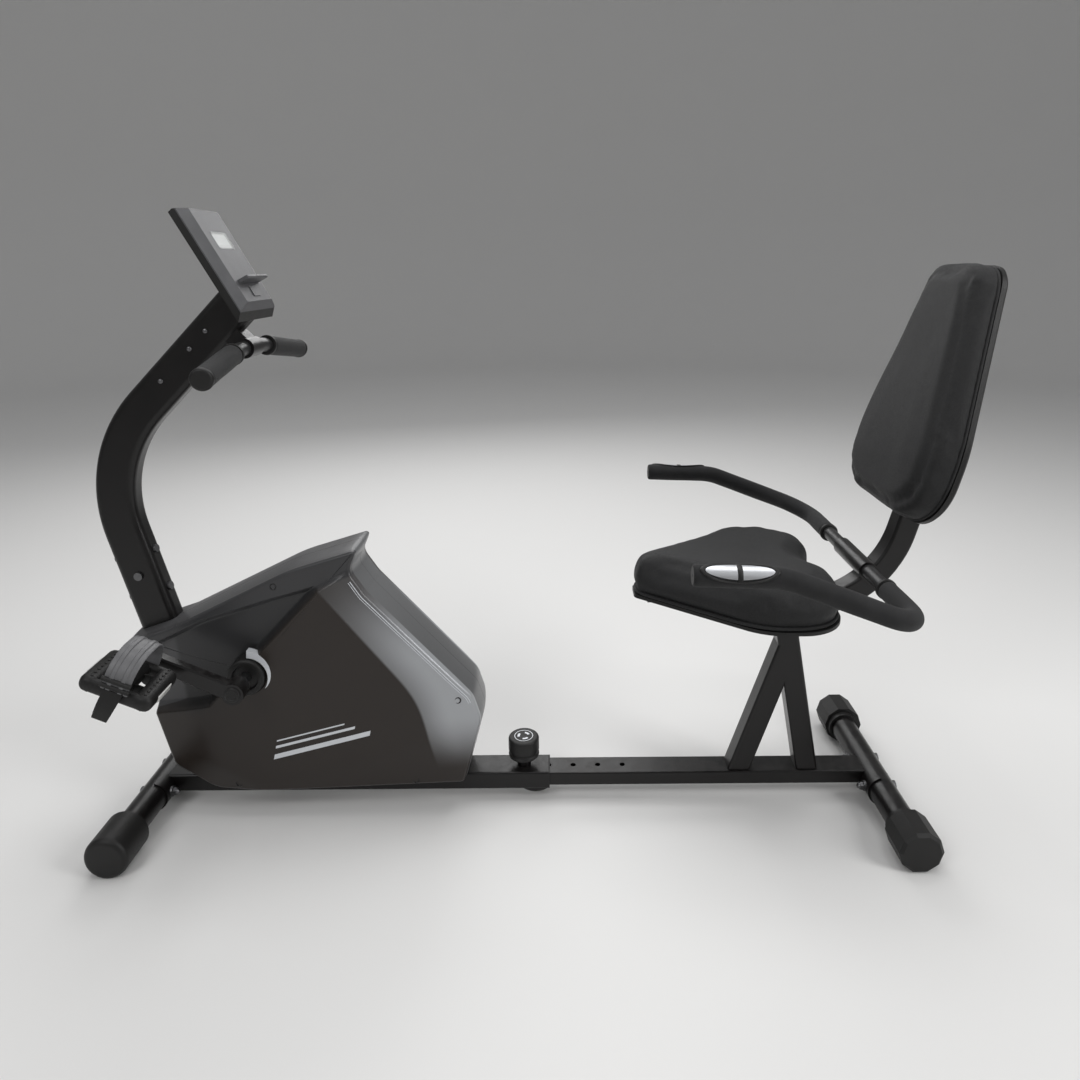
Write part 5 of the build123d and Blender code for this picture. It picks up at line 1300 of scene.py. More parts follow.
# ---------------------------------------------------------------- upholstery
@dataclass(frozen=True)
class Stuffing:
    """How a cushion is blown up from its plain body."""

    voxel: float = 0.005
    shrink: float = 0.975
    pressure: float = 4.0
    frames: int = 14
    cap: float = 0.007

    def swell(self, node: str, name: str, held: Callable[[Vector], bool]) -> bpy.types.Object:
        """Make a cushion from a frame node.

        Args:
            node: Node whose mesh gives the plain body.
            name: Name of the cushion.
            held: Whether a point is fixed, as where it is stapled down.

        Returns:
            The cushion with its cover blown up and smoothed.
        """
        low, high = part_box(node)
        centre = (low + high) / 2
        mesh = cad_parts[node].data.copy()
        smaller = Matrix.Diagonal((self.shrink, self.shrink, self.shrink, 1))
        mesh.transform(Matrix.Translation(centre) @ smaller @ Matrix.Translation(-centre))
        piece = bpy.data.objects.new(name, mesh)
        bpy.context.scene.collection.objects.link(piece)
        remesh = piece.modifiers.new("even", "REMESH")
        remesh.mode = "VOXEL"
        remesh.voxel_size = self.voxel
        piece.data = evaluated(piece)
        piece.modifiers.clear()
        self.blow(piece, held)
        smooth = piece.modifiers.new("smooth", "SMOOTH")
        smooth.factor = 0.5
        smooth.iterations = 6
        finer = piece.modifiers.new("finer", "SUBSURF")
        finer.levels = 1
        piece.data = evaluated(piece)
        piece.modifiers.clear()
        piece.data.name = name
        piece.data.shade_smooth()
        return piece

    def blow(self, piece: bpy.types.Object, held: Callable[[Vector], bool]) -> None:
        """Inflate the cover as cloth and keep each point near its start.

        Args:
            piece: The remeshed body, changed in place.
            held: Whether a point is fixed.
        """
        start = [vertex.co.copy() for vertex in piece.data.vertices]
        group = piece.vertex_groups.new(name="held")
        group.add([index for index, point in enumerate(start) if held(point)], 1.0, "ADD")
        cloth = piece.modifiers.new("cover", "CLOTH")
        cover = cloth.settings
        cover.quality = 4
        cover.mass = 0.25
        cover.tension_stiffness = cover.compression_stiffness = 12
        cover.shear_stiffness = 4
        cover.bending_stiffness = 0.6
        cover.use_pressure = True
        cover.uniform_pressure_force = self.pressure
        cover.vertex_group_mass = group.name
        cover.effector_weights.gravity = 0
        cloth.collision_settings.use_collision = False
        cloth.collision_settings.use_self_collision = False
        cloth.point_cache.frame_end = self.frames
        scene = bpy.context.scene
        for number in range(1, self.frames + 1):
            scene.frame_set(number)
        blown = evaluated(piece)
        for vertex, origin in zip(blown.vertices, start):
            moved = vertex.co - origin
            if moved.length > self.cap:
                vertex.co = origin + moved.normalized() * self.cap
        piece.modifiers.clear()
        piece.vertex_groups.clear()
        piece.data = blown
        scene.frame_set(1)


@dataclass
class SeatCushion:
    """Saddle-shaped seat with piping round its foot."""

    crown: float = 0.005
    dish: float = 0.007
    tuck: float = 0.022
    crumple: float = 0.0012
    piping: float = 0.0032
    foot: float = 0.0045
    stapled: float = 0.012
    piping_out: float = 0.0012

    def shape(self, piece: bpy.types.Object) -> None:
        """Dish the middle of the seat, crown its rear and round its sides.

        Args:
            piece: The cushion, changed in place.
        """
        low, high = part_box("seat_cushion")
        length, half, centre = high.x - low.x, high.y, (low + high) / 2
        for vertex in piece.data.vertices:
            point = vertex.co
            share = ease((point.z - low.z) / (high.z - low.z))
            back = (point.x - low.x) / length
            across = min(1.0, abs(point.y) / half)
            dish = math.exp(-((back - 0.62) / 0.22) ** 2) * math.exp(-(across / 0.42) ** 2)
            wave = noise.noise(point * 14.0) * self.crumple
            tuck = self.tuck * (ease((share - 0.45) / 0.55) + ease((0.30 - share) / 0.30))
            vertex.co.x += (centre.x - point.x) * tuck
            vertex.co.y += (centre.y - point.y) * tuck
            crown = self.crown * (1 - across ** 2) * (0.4 + 0.6 * back)
            vertex.co.z += share * (crown - self.dish * dish + wave)

    def build(self) -> None:
        """Build and fit the cushion and its piping."""
        low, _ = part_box("seat_cushion")
        piece = Stuffing().swell("seat_cushion", "seat_cushion_cover", lambda p: p.z < low.z + self.stapled)
        self.shape(piece)
        fit(piece, "seat_carriage", BLACK_VINYL, ["seat_cushion"])
        loop = contour(piece.data, Vector((0, 0, low.z + 0.010)), UP, 0.006)
        centre = sum(loop, Vector()) / len(loop)
        rim = []
        for point in loop:
            out = Vector((point.x - centre.x, point.y - centre.y, 0)).normalized() * self.piping_out
            rim.append(Vector((point.x + out.x, point.y + out.y, low.z + self.foot)))
        shape = Shape()
        shape.carried(rim, circle(self.piping, 12), UP, closed=True)
        fit(shape.build("seat_piping"), "seat_carriage", BLACK_VINYL)


@dataclass
class BackPad:
    """Tapered back cushion with a sewn channel inside its edge."""

    lean: float = math.radians(16.0)
    channel_inset: float = 0.021
    channel_depth: float = 0.0042
    channel_width: float = 0.0085
    channel_from: float = 0.022
    lumbar: float = 0.006
    crumple: float = 0.0011
    piping: float = 0.0026
    piping_back: float = 0.003
    stapled: float = 0.008

    def __post_init__(self) -> None:
        """Find the pad's own directions and its faces."""
        self.forward = Vector((-math.cos(self.lean), 0, math.sin(self.lean)))
        self.upward = Vector((math.sin(self.lean), 0, math.cos(self.lean)))
        points = [vertex.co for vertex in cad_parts["back_pad"].data.vertices]
        self.rear = min(point.dot(self.forward) for point in points)
        self.front = max(point.dot(self.forward) for point in points)
        self.bottom = min(point.dot(self.upward) for point in points)
        self.top = max(point.dot(self.upward) for point in points)

    def outline(self, mesh: bpy.types.Mesh, depth: float) -> list[Vector]:
        """Loop round the pad at a depth from its rear face."""
        return contour(mesh, self.forward * (self.rear + depth), self.forward, 0.005)

    def shape(self, piece: bpy.types.Object) -> None:
        """Sink the channel and crown the middle.

        Args:
            piece: The cushion, changed in place.
        """
        loop = self.outline(piece.data, self.channel_from)
        level = self.rear + self.channel_from
        near = KDTree(len(loop))
        for index, point in enumerate(loop):
            near.insert(point, index)
        near.balance()
        for vertex in piece.data.vertices:
            point = vertex.co
            depth = point.dot(self.forward)
            front = ease((depth - level) / (self.front - level))
            flat = point + self.forward * (level - depth)
            inside = near.find(flat)[2]
            channel = math.exp(-((inside - self.channel_inset) / self.channel_width) ** 2)
            height = (point.dot(self.upward) - self.bottom) / (self.top - self.bottom)
            belly = math.exp(-((height - 0.30) / 0.22) ** 2) * ease(inside / 0.09)
            wave = noise.noise(point * 12.0) * self.crumple
            vertex.co += self.forward * (front * (self.lumbar * belly - self.channel_depth * channel + wave))

    def build(self) -> None:
        """Build and fit the pad and its piping."""
        piece = Stuffing(cap=0.006).swell(
            "back_pad", "back_pad_cover", lambda p: p.dot(self.forward) < self.rear + self.stapled
        )
        self.shape(piece)
        fit(piece, "seat_carriage", BLACK_VINYL, ["back_pad"])
        loop = self.outline(piece.data, 0.006)
        shape = Shape()
        run = [point - self.forward * self.piping_back for point in loop]
        shape.carried(run, circle(self.piping, 12), self.forward, closed=True)
        fit(shape.build("back_piping"), "seat_carriage", BLACK_VINYL)


# ---------------------------------------------------------------- handles
def foam_girth(length: float) -> Callable[[float], float]:
    """Scale of a foam sleeve along its run: rounded at both ends and a little uneven.

    Args:
        length: Length of the run.

    Returns:
        Function from a length along the run to the scale there.
    """
    def girth(gone: float) -> float:
        """Scale at one place."""
        end = min(gone, length - gone)
        return 1 - 0.16 * (1 - min(1.0, end / 0.003)) ** 2 + 0.012 * math.sin(gone * 47) * math.sin(gone * 19)

    return girth


@dataclass
class SideHandles:
    """Foam, end rings and pulse sensors of the handle beside the seat."""

    bar: float = 0.0125
    foam: float = 0.0165
    knee: tuple = (0.131, -0.005)
    knee_radius: float = 0.120
    corner_radius: float = 0.065
    foam_end: float = 0.146
    cap: float = 0.004
    sensor_middle: float = 0.062
    sensor_half: tuple = (0.059, 0.0185)
    sensor_turn: float = math.radians(40)
    rim: tuple = ((1.00, -0.0010), (0.99, 0.0008), (0.965, 0.0020), (0.93, 0.0025), (0.89, 0.0021),
                  (0.85, 0.0006), (0.84, -0.0010))
    strip: float = 0.008
    strip_section: tuple = ((-1, -0.0005), (-1, 0.0010), (-0.7, 0.0015), (0.7, 0.0015), (1, 0.0010),
                            (1, -0.0005))

    def __post_init__(self) -> None:
        """Read the handle's run from the frame."""
        low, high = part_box("seat_handle")
        grips_low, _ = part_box("seat_grips")
        self.span = high.y - self.bar
        self.end = Vector((grips_low.x + self.cap + 0.0006, 0, high.z - self.bar))
        self.corner = Vector((high.x - self.bar, 0, low.z + self.bar))

    def path(self, side: Side) -> list[Vector]:
        """Centre line under the foam, from the grip's end to the cross bar.

        Args:
            side: Which side.

        Returns:
            Points along the centre line.
        """
        offset = SIDEWAYS * (side.value * self.span)
        knee = self.end + Vector((self.knee[0], 0, self.knee[1]))
        inner = self.corner + SIDEWAYS * (side.value * self.foam_end)
        corners = [self.end + offset, knee + offset, self.corner + offset, inner]
        return evenly(rounded(corners, [0, self.knee_radius, self.corner_radius, 0], 0.004), 0.004)

    def sleeve(self, side: Side) -> bpy.types.Object:
        """Foam sleeve of one arm.

        Args:
            side: Which side.

        Returns:
            The new piece.
        """
        path = self.path(side)
        start = (path[1] - path[0]).normalized()
        path = [path[0] - start * self.cap, path[0] - start * (self.cap - 0.0012), *path]
        length = sum((b - a).length for a, b in zip(path, path[1:]))
        shape = Shape()
        shape.carried(path, circle(self.foam), UP, girth=foam_girth(length))
        return shape.build(f"seat_grip_foam_{side.label}", 50)

    def collars(self, side: Side) -> bpy.types.Object:
        """Ring at the foam's inner end and the moulded cap at its outer end.

        Args:
            side: Which side.

        Returns:
            The new piece.
        """
        shape = Shape()
        inner = self.corner + SIDEWAYS * (side.value * (self.foam_end - 0.001))
        ring = (
            (0.0, self.foam - 0.0005), (0.001, self.foam + 0.0012), (0.006, self.foam + 0.0012),
            (0.0075, self.foam - 0.001), (0.0075, self.bar),
        )
        shape.turned(inner, SIDEWAYS * -side.value, ring)
        path = self.path(side)
        axis = (path[0] - path[1]).normalized()
        cap = (
            (-0.001, self.foam * 0.86), (0.0035, self.foam * 0.86), (0.0046, self.foam * 0.80),
            (0.0048, self.foam * 0.30), (0.0042, 0.0),
        )
        shape.turned(path[0] - axis * 0.0005, axis, cap)
        return shape.build(f"seat_grip_rings_{side.label}")

    def sensor_place(self, side: Side) -> Callable[[float, float, float], Vector]:
        """Map from the sensor's own length, arc and height to the frame.

        Args:
            side: Which side.

        Returns:
            Function from a length, an arc and a height over the foam to a point.
        """
        path = self.path(side)
        along = (path[1] - path[0]).normalized()
        outward = UP * math.cos(self.sensor_turn) + SIDEWAYS * (side.value * math.sin(self.sensor_turn))
        outward = (outward - along * outward.dot(along)).normalized()
        round_bar = along.cross(outward)

        def at(far: float, arc: float, height: float) -> Vector:
            """Point at a length, an arc and a height."""
            turn = arc / self.foam
            out = outward * math.cos(turn) + round_bar * math.sin(turn)
            return path[0] + along * (self.sensor_middle + far) + out * (self.foam + height)

        return at

    def sensor_rim(self, side: Side) -> bpy.types.Object:
        """Black lens-shaped dish with its raised lip and middle strip.

        Args:
            side: Which side.

        Returns:
            The new piece.
        """
        at = self.sensor_place(side)
        half_length, half_arc = self.sensor_half
        rings = []
        for number in range(72):
            turn = math.tau * number / 72
            far, arc = math.cos(turn), math.sin(turn) * abs(math.sin(turn)) ** 0.15
            rings.append([
                at(half_length * scale * far, half_arc * scale * arc, height) for scale, height in self.rim
            ])
        shape = Shape()
        shape.skin([*rings, rings[0]], capped=False)
        edge = self.strip / 2
        strip = []
        for number in range(9):
            arc = half_arc * 0.9 * (number / 4 - 1)
            strip.append([at(edge * share, arc, height) for share, height in self.strip_section])
        shape.skin(strip)
        return shape.build(f"pulse_rim_{side.label}", 45)

    def build(self) -> None:
        """Build and fit both arms."""
        for side in Side:
            replaced = ["seat_grips"] if side is Side.LEFT else []
            fit(self.sleeve(side), "seat_carriage", BLACK_FOAM, replaced)
            fit(self.collars(side), "seat_carriage", BLACK_MOULDING)
            fit(self.sensor_rim(side), "seat_carriage", BLACK_MOULDING)


@dataclass
class HandBar:
    """Foam grips and rings of the bar under the console."""

    bar: float = 0.0125
    foam: float = 0.0175
    bend: float = 0.050
    sag: float = 0.026
    sweep: float = 0.013
    start: float = 0.080
    inset: float = 0.0006
    reach: float = 0.175

    def __post_init__(self) -> None:
        """Read the bar's run from the frame."""
        low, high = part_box("hand_bar")
        _, grips_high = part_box("hand_grips")
        self.middle = Vector((low.x + self.bar, 0, high.z - self.bar))
        self.tip = grips_high.y - self.inset

    def point(self, side: Side, y: float) -> Vector:
        """Point on the bar's centre line at a distance from the plane of symmetry."""
        share = (y - self.bend) / self.reach
        return self.middle + Vector((self.sweep * share, side.value * y, -self.sag * share))

    def build(self) -> None:
        """Build and fit both grips."""
        for side in Side:
            path = evenly([self.point(side, self.start), self.point(side, self.tip)], 0.004)
            length = (path[-1] - path[0]).length
            shape = Shape()
            shape.carried(path, circle(self.foam), UP, girth=foam_girth(length))
            replaced = ["hand_grips"] if side is Side.LEFT else []
            fit(shape.build(f"hand_grip_foam_{side.label}", 50), "frame", BLACK_FOAM, replaced)
            rings = Shape()
            axis = (path[0] - path[-1]).normalized()
            ring = (
                (-0.001, self.foam * 0.9), (0.0, self.foam + 0.001), (0.005, self.foam + 0.001),
                (0.0062, self.foam - 0.001), (0.0062, self.bar),
            )
            rings.turned(path[0], axis, ring)
            fit(rings.build(f"hand_grip_ring_{side.label}"), "frame", BLACK_MOULDING)


# ---------------------------------------------------------------- pedals
@dataclass
class Pedal:
    """Platform pedal with treads, reflectors and a ribbed toe strap."""

    side: Side
    tilt: float = math.radians(23)
    length: float = 0.118
    width: float = 0.095
    thick: float = 0.028
    bar: float = 0.031
    rail: float = 0.014
    rail_inset: float = 0.006
    treads: int = 9
    tread_pitch: float = 0.0095
    stud: tuple = ((0.0, 0.0026), (0.0016, 0.0022), (0.0022, 0.0010))
    core: float = 0.0155
    rib: float = 0.0022
    rib_y: float = 0.016
    lens: Point = (0.021, 0.0058)
    lens_steps: tuple = ((-0.003, 1.0), (0.0002, 1.0), (0.0009, 0.93))
    strap_width: float = 0.043
    strap_height: float = 0.064
    strap_half: float = 0.0495
    strap_foot: float = 0.0085
    strap_rounding: float = 0.042
    ridge: tuple = ((0.0042, 0.0016), (0.0028, 0.0032), (-0.0028, 0.0032), (-0.0042, 0.0016))
    strap_thick: float = 0.0024

    def __post_init__(self) -> None:
        """Find the pedal's own frame."""
        low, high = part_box(f"pedal_{self.side.label}")
        self.place = Matrix.Translation((low + high) / 2) @ Matrix.Rotation(self.tilt, 4, "Y")

    def lobe(self, shape: Shape, start: Vector, end: Vector, size: Point, power: float = 2.5) -> None:
        """Rounded bar of a superellipse section.

        Args:
            shape: Shape to add to.
            start: One end of its centre line.
            end: The other end.
            size: Half width and half thickness.
            power: Squareness of the section.
        """
        section = []
        for a, b in circle(1.0, 28):
            grow = (abs(a) ** power + abs(b) ** power) ** (-1 / power)
            section.append((a * grow * size[0], b * grow * size[1]))
        path = evenly([start, end], 0.003)
        length = (end - start).length

        def girth(gone: float) -> float:
            """Scale at a length along the bar."""
            near = min(gone, length - gone)
            return max(0.55, 1 - 0.45 * (1 - min(1.0, near / 0.010)) ** 2.2)

        shape.carried(path, section, UP, girth=girth)

    def body(self) -> bpy.types.Object:
        """Platform: two end lobes, two side rails and the spindle core, with treads.

        Returns:
            The new piece.
        """
        shape = Shape()
        half_x, half_y, half_z = self.length / 2, self.width / 2, self.thick / 2
        end = half_x - self.bar / 2
        rail_x = half_x - self.rail_inset
        for sign in (-1, 1):
            across = [Vector((sign * end, y, 0)) for y in (-half_y, half_y)]
            self.lobe(shape, *across, (self.bar / 2, half_z))
            rail_y = sign * (half_y - self.rail / 2)
            along = [Vector((x, rail_y, 0)) for x in (-rail_x, rail_x)]
            self.lobe(shape, *along, (self.rail / 2, half_z * 0.86))
            for tread in (-1, 1):
                for row in range(self.treads):
                    y = (row - self.treads // 2) * self.tread_pitch
                    foot = Vector((sign * end, y, tread * (half_z - 0.0006)))
                    shape.turned(foot, UP * tread, self.stud, 10)
        core = [Vector((0, y, 0)) for y in (-half_y + 0.002, half_y - 0.002)]
        self.lobe(shape, *core, (self.core, half_z * 0.94), 2.6)
        for y in (-self.rib_y, self.rib_y):
            for sign in (-1, 1):
                rib = [Vector((sign * x, y, 0)) for x in (0.012, end - 0.002)]
                self.lobe(shape, *rib, (self.rib, half_z * 0.7))
        made = shape.build(f"pedal_{self.side.label}_platform", 42)
        made.data.transform(self.place)
        return made

    def reflectors(self) -> bpy.types.Object:
        """Pale reflector in each end lobe.

        Returns:
            The new piece.
        """
        shape = Shape()
        for sign in (-1, 1):
            rings = []
            for out, shrink in self.lens_steps:
                x, y, z = sign * (self.length / 2 + out), self.lens[0] * shrink, self.lens[1] * shrink
                corners = [Vector(corner) for corner in ((x, -y, -z), (x, y, -z), (x, y, z), (x, -y, z))]
                rings.append(rounded(corners, [0.0015] * 4, 0.0006, closed=True))
            shape.skin(rings)
        made = shape.build(f"pedal_{self.side.label}_reflectors")
        made.data.transform(self.place)
        return made

    def strap(self) -> bpy.types.Object:
        """Ribbed band over the foot with two lengthwise ridges.

        Returns:
            The new piece.
        """
        half, top, foot = self.strap_half, self.strap_height, self.strap_foot
        corners = [Vector((0, y, z)) for y, z in ((-half, foot), (-half, top), (half, top), (half, foot))]
        radii = [0, self.strap_rounding, self.strap_rounding, 0]
        path = evenly(rounded(corners, radii, 0.002), 0.0022)
        edge = self.strap_width / 2
        under = [(-edge, -0.0012), (-edge + 0.001, -0.0018), (edge - 0.001, -0.0018), (edge, -0.0012)]
        section = [*under, (edge, 0.0008), (edge - 0.0015, 0.0016)]
        for middle in (0.0095, -0.0095):
            section += [(middle + out, rise) for out, rise in self.ridge]
        section += [(-edge + 0.0015, 0.0016), (-edge, 0.0008)]
        shape = Shape()
        shape.carried(path, section, SIDEWAYS * -1, girth=lambda gone: 1 + 0.012 * math.sin(gone * 1400))
        made = shape.build(f"toe_strap_{self.side.label}_band", 42)
        made.data.transform(self.place)
        return made

    def buckle(self) -> bpy.types.Object:
        """Slide buckle on the outer end of the strap, and the strap's loose tail below it.

        Returns:
            The new piece.
        """
        shape = Shape()
        outer = self.side.value * (self.strap_half + 0.0008)
        out = SIDEWAYS * self.side.value
        edge = self.strap_width / 2 + 0.0022
        for low, high, thick in ((0.012, 0.019, 0.0038), (0.023, 0.030, 0.0046)):
            section = [
                (low, 0), (low, thick * 0.7), (low + 0.0015, thick),
                (high - 0.0015, thick), (high, thick * 0.7), (high, 0),
            ]
            places = (-edge, -edge + 0.002, edge - 0.002, edge)
            shape.skin([[Vector((x, outer, z)) + out * t for z, t in section] for x in places])
        tail, parts = [], 14
        for number in range(parts + 1):
            share = number / parts
            z = 0.010 - 0.052 * share
            push = 0.0012 + 0.0035 * math.sin(share * 2.4) + (0.0006 if number % 2 else 0.0)
            wide = 0.015 - 0.003 * share ** 2
            lean = -0.006 * share
            back, face = push - self.strap_thick / 2, push + self.strap_thick / 2
            corners = ((lean - wide, back), (lean + wide, back), (lean + wide, face), (lean - wide, face))
            tail.append([Vector((x, outer, z)) + out * rise for x, rise in corners])
        shape.skin(tail)
        made = shape.build(f"toe_strap_{self.side.label}_buckle", 35)
        made.data.transform(self.place)
        return made

    def build(self) -> None:
        """Build and fit the pedal."""
        body = f"pedal_{self.side.label}"
        fit(self.body(), body, BLACK_MOULDING, [body])
        fit(self.reflectors(), body, REFLECTOR)
        fit(self.strap(), body, STRAP_GREY, [f"toe_strap_{self.side.label}"])
        fit(self.buckle(), body, BLACK_MOULDING)


# ---------------------------------------------------------------- console, mast and base
@dataclass
class Console:
    """Display behind the window of the console."""

    tilt: float = math.radians(29.2)
    margin: float = 0.002
    behind: float = 0.0022
    digit: tuple[float, float, float] = (0.0068, 0.0120, 0.0013)
    gap: float = 0.0003
    bars_foot: float = -0.0098

    def __post_init__(self) -> None:
        """Find the face's directions and the window."""
        self.normal = Vector((math.cos(self.tilt), 0, math.sin(self.tilt)))
        self.upward = Vector((-math.sin(self.tilt), 0, math.cos(self.tilt)))
        low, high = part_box("console_lens")
        points = [vertex.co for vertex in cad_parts["console_lens"].data.vertices]
        self.middle = (low + high) / 2
        heights = [point.dot(self.upward) for point in points]
        self.half = Vector(((high.y - low.y) / 2, (max(heights) - min(heights)) / 2))

    def point(self, across: float, height: float, out: float) -> Vector:
        """Point on the face from the window's middle."""
        return self.middle + SIDEWAYS * across + self.upward * height + self.normal * out

    def tile(self, shape: Shape, across: Point, height: Point, out: Point) -> None:
        """Thin block on the face.

        Args:
            shape: Shape to add to.
            across: Its two sides.
            height: Its foot and head.
            out: Its back and front.
        """
        (left, right), (foot, head) = across, height
        corners = ((left, foot), (right, foot), (right, head), (left, head))
        shape.skin([[self.point(*corner, far) for corner in corners] for far in out])

    def glass(self) -> bpy.types.Object:
        """Display under the window.

        Returns:
            The new piece.
        """
        shape = Shape()
        wide, tall = self.half.x - self.margin, self.half.y - self.margin
        self.tile(shape, (-wide, wide), (-tall, tall), (-self.behind - 0.0015, -self.behind))
        return shape.build("console_display")

    def digits(self) -> bpy.types.Object:
        """Four seven-segment numerals and a row of bars under them.

        Returns:
            The new piece.
        """
        shape = Shape()
        lit = {"8": "abcdefg", "0": "abcdef", "1": "bc", "5": "acdfg"}
        wide, tall, thick = self.digit
        front = (-self.behind, -self.behind + 0.0003)
        middle = tall / 2
        bars = {
            "a": ((0, wide), (tall - thick, tall)),
            "b": ((wide - thick, wide), (middle, tall)),
            "c": ((wide - thick, wide), (0, middle)),
            "d": ((0, wide), (0, thick)),
            "e": ((0, thick), (0, middle)),
            "f": ((0, thick), (middle, tall)),
            "g": ((0, wide), (middle - thick / 2, middle + thick / 2)),
        }
        for index, digit in enumerate("1508"):
            left = -0.0215 + index * 0.0112 + (0.002 if index > 1 else 0) + self.gap
            foot = -0.0035 + self.gap
            for name in lit[digit]:
                (a0, a1), (h0, h1) = bars[name]
                sides = (left + a0, left + a1 - 2 * self.gap)
                self.tile(shape, sides, (foot + h0, foot + h1 - 2 * self.gap), front)
        for index in range(9):
            left = -0.0225 + index * 0.0052
            head = self.bars_foot + 0.0016 + 0.0004 * (index % 4)
            self.tile(shape, (left, left + 0.0036), (self.bars_foot, head), front)
        return shape.build("console_segments")

    def build(self) -> None:
        """Build and fit the display."""
        fit(self.glass(), "frame", LCD)
        fit(self.digits(), "frame", SEGMENT)


@dataclass
class Hardware:
    """Small fasteners and marks: mast screws, crank caps and the knob's top."""

    screw_stations: tuple = (0.075, 0.118, 0.196)
    screw_radius: float = 0.0042
    screw_head: tuple = ((-0.001, 1.0), (0.0008, 1.0), (0.0018, 0.8), (0.0022, 0.4), (0.0016, 0.3),
                         (0.0010, 0.0))
    mast_rise: float = math.radians(45.6)
    mast_half: float = 0.0245
    cap: tuple = ((-0.001, 0.0135), (0.0012, 0.0135), (0.0026, 0.0120), (0.0030, 0.0085), (0.0022, 0.0075),
                  (0.0022, 0.0))
    arcs: tuple = ((0.0165, 0.0178, 0, 360), (0.0075, 0.0120, 20, 60), (0.0075, 0.0120, 140, 60),
                   (0.0075, 0.0120, 260, 60))
    ink_lift: float = 0.00025

    def mast_screws(self) -> bpy.types.Object:
        """Pan heads on both flanks of the mast's upper run.

        Returns:
            The new piece.
        """
        shape = Shape()
        _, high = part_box("mast")
        along = Vector((math.cos(self.mast_rise), 0, math.sin(self.mast_rise)))
        top = Vector((high.x - self.mast_half, 0, high.z - self.mast_half))
        for side in Side:
            for station in self.screw_stations:
                middle = top - along * station + Vector((0, side.value * high.y, 0))
                head = [(rise, self.screw_radius * share) for rise, share in self.screw_head]
                shape.turned(middle, SIDEWAYS * side.value, head, 20)
        return shape.build("mast_screws")

    def crank_caps(self) -> bpy.types.Object:
        """Dust caps over the crank bolts.

        Returns:
            The new piece.
        """
        low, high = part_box("crank_axle")
        middle = (low + high) / 2
        shape = Shape()
        for side in Side:
            face = abs(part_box(f"crank_arm_{side.label}")[0 if side is Side.LEFT else 1].y)
            cap = [(face + rise, radius) for rise, radius in self.cap]
            shape.turned(Vector((middle.x, 0, middle.z)), SIDEWAYS * side.value, cap)
        return shape.build("crank_dust_caps")

    def knob_mark(self) -> bpy.types.Object:
        """Pale ring and dashes on the pull knob's top.

        Returns:
            The new piece.
        """
        low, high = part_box("pull_knob")
        middle = Vector(((low.x + high.x) / 2, (low.y + high.y) / 2, high.z))
        shape = Shape()
        for inner, outer, start, sweep in self.arcs:
            parts = max(8, sweep // 8)
            rows = []
            for number in range(parts + 1):
                turn = math.radians(start + sweep * number / parts)
                out = Vector((math.cos(turn), math.sin(turn), 0))
                rows.append([middle + out * radius + UP * self.ink_lift for radius in (inner, outer)])
            shape.skin(rows, closed=False, capped=False)
        return shape.build("knob_mark")

    def build(self) -> None:
        """Build and fit the hardware."""
        fit(self.mast_screws(), "frame", ZINC)
        fit(self.crank_caps(), "crank", BLACK_MOULDING)
        fit(self.knob_mark(), "locking_pin", SILVER_INK)


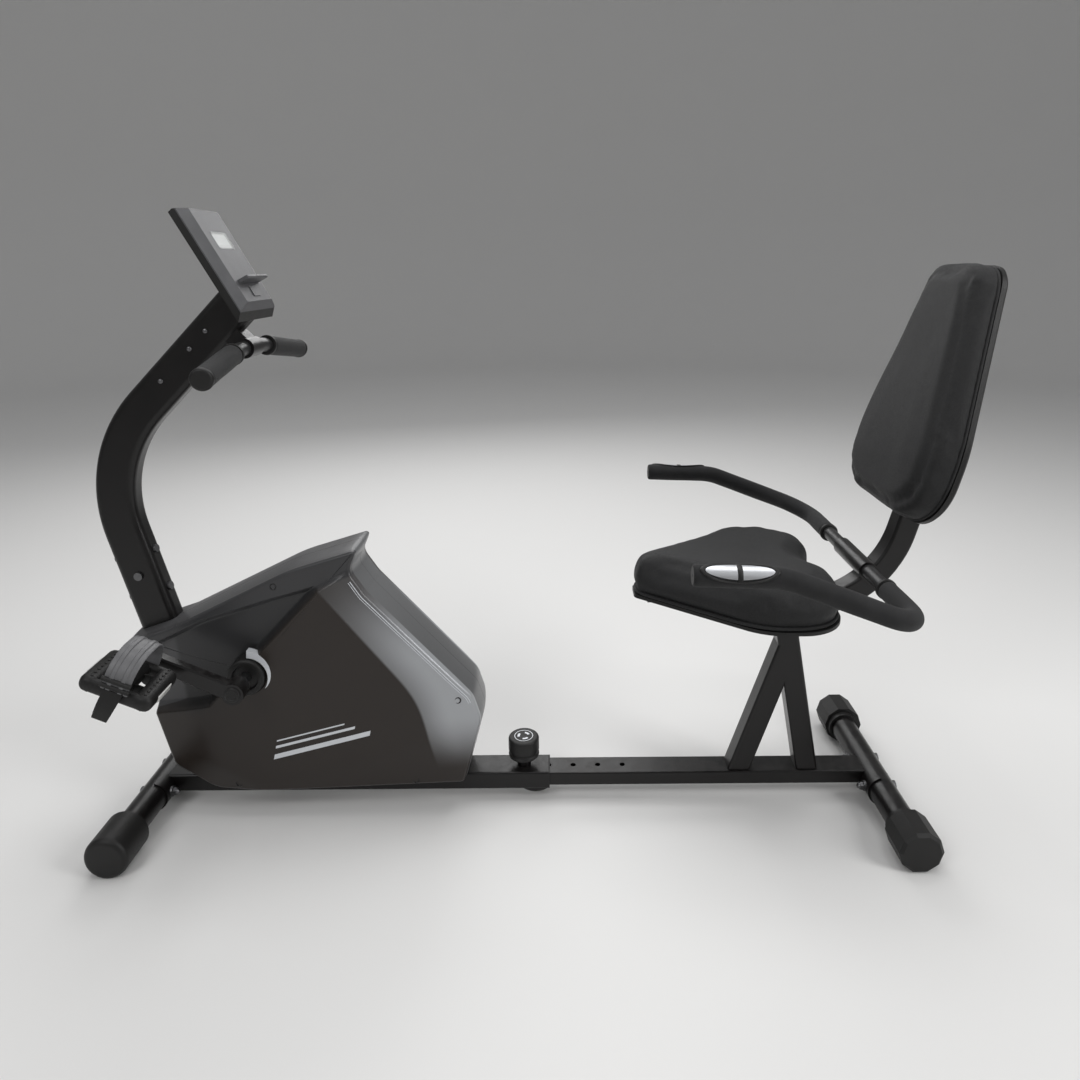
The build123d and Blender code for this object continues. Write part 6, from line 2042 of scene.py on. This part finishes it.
# ---------------------------------------------------------------- studio
@dataclass
class Studio:
    """Pale floor, soft lights and the camera."""

    floor_radius: float = 6.5
    sweep_radius: float = 3.0
    wall_height: float = 6.0
    eye: tuple = (0.049, -1.370, 1.000)
    pitch: float = 10.0
    roll: float = 0.45
    focal: float = 26.267
    sensor: float = 36.0
    shift: Point = (-0.01852, -0.12593)
    air: Colour = (0.93, 0.94, 0.96)
    air_strength: float = 0.30
    lights: tuple = (
        ("overhead", (0.1, 0.5, 3.2), (0, 0, 0.3), (3.0, 2.0), 56),
        ("key", (-1.6, -2.4, 2.6), (-0.2, 0, 0.5), (1.4, 1.4), 30),
        ("rear_side", (2.6, -1.4, 1.9), (-0.2, 0, 0.4), (1.0, 1.6), 44),
        ("far_rim", (-0.6, 2.6, 2.0), (0, 0, 0.6), (2.4, 1.0), 24),
    )

    def floor(self) -> None:
        """Lay the round floor, whose edge sweeps up into a wall."""
        profile = [(0.0, 0.001), (0.0, self.floor_radius)]
        for part in range(1, 13):
            turn = part / 12 * math.pi / 2
            rise, run = 1 - math.cos(turn), math.sin(turn)
            profile.append((self.sweep_radius * rise, self.floor_radius + self.sweep_radius * run))
        profile.append((self.wall_height, self.floor_radius + self.sweep_radius))
        shape = Shape()
        shape.turned(Vector(), UP, profile, 96, open_end=True)
        floor = shape.build("floor")
        floor.data.materials.append(PALE_FLOOR.material())

    def light(
        self, name: str, place: Sequence[float], aim: Sequence[float], size: Point, watts: float
    ) -> None:
        """Hang a soft box.

        Args:
            name: Its name.
            place: Where it hangs.
            aim: Point that it faces.
            size: Its two sides.
            watts: Its power.
        """
        lamp = bpy.data.lights.new(name, "AREA")
        lamp.shape = "RECTANGLE"
        lamp.size, lamp.size_y = size
        lamp.energy = watts
        made = bpy.data.objects.new(name, lamp)
        made.location = place
        made.rotation_euler = (Vector(aim) - Vector(place)).to_track_quat("-Z", "Y").to_euler()
        bpy.context.scene.collection.objects.link(made)

    def camera(self) -> None:
        """Stand the camera to the rider's left."""
        lens = bpy.data.cameras.new("camera")
        lens.sensor_width = self.sensor
        lens.lens = self.focal
        lens.shift_x, lens.shift_y = self.shift
        lens.clip_start = 0.05
        made = bpy.data.objects.new("camera", lens)
        made.location = self.eye
        made.rotation_mode = "QUATERNION"
        level = Quaternion((1, 0, 0), math.radians(90 - self.pitch))
        made.rotation_quaternion = level @ Quaternion((0, 0, 1), math.radians(-self.roll))
        bpy.context.scene.collection.objects.link(made)
        bpy.context.scene.camera = made

    def build(self) -> None:
        """Set up the studio."""
        self.floor()
        for light in self.lights:
            self.light(*light)
        world = bpy.data.worlds.new("studio_air")
        world.use_nodes = True
        background = world.node_tree.nodes["Background"]
        background.inputs["Color"].default_value = (*self.air, 1)
        background.inputs["Strength"].default_value = self.air_strength
        bpy.context.scene.world = world
        bpy.context.scene.view_settings.view_transform = "Standard"
        self.camera()


def main() -> None:
    """Build the bike's looks round the frame."""
    logging.basicConfig(level=logging.INFO, format="%(message)s")
    dress_frame()
    Studio().build()
    Shroud().build()
    SeatCushion().build()
    BackPad().build()
    SideHandles().build()
    HandBar().build()
    for side in Side:
        Pedal(side).build()
    Console().build()
    Hardware().build()


if __name__ == "__main__":
    main()
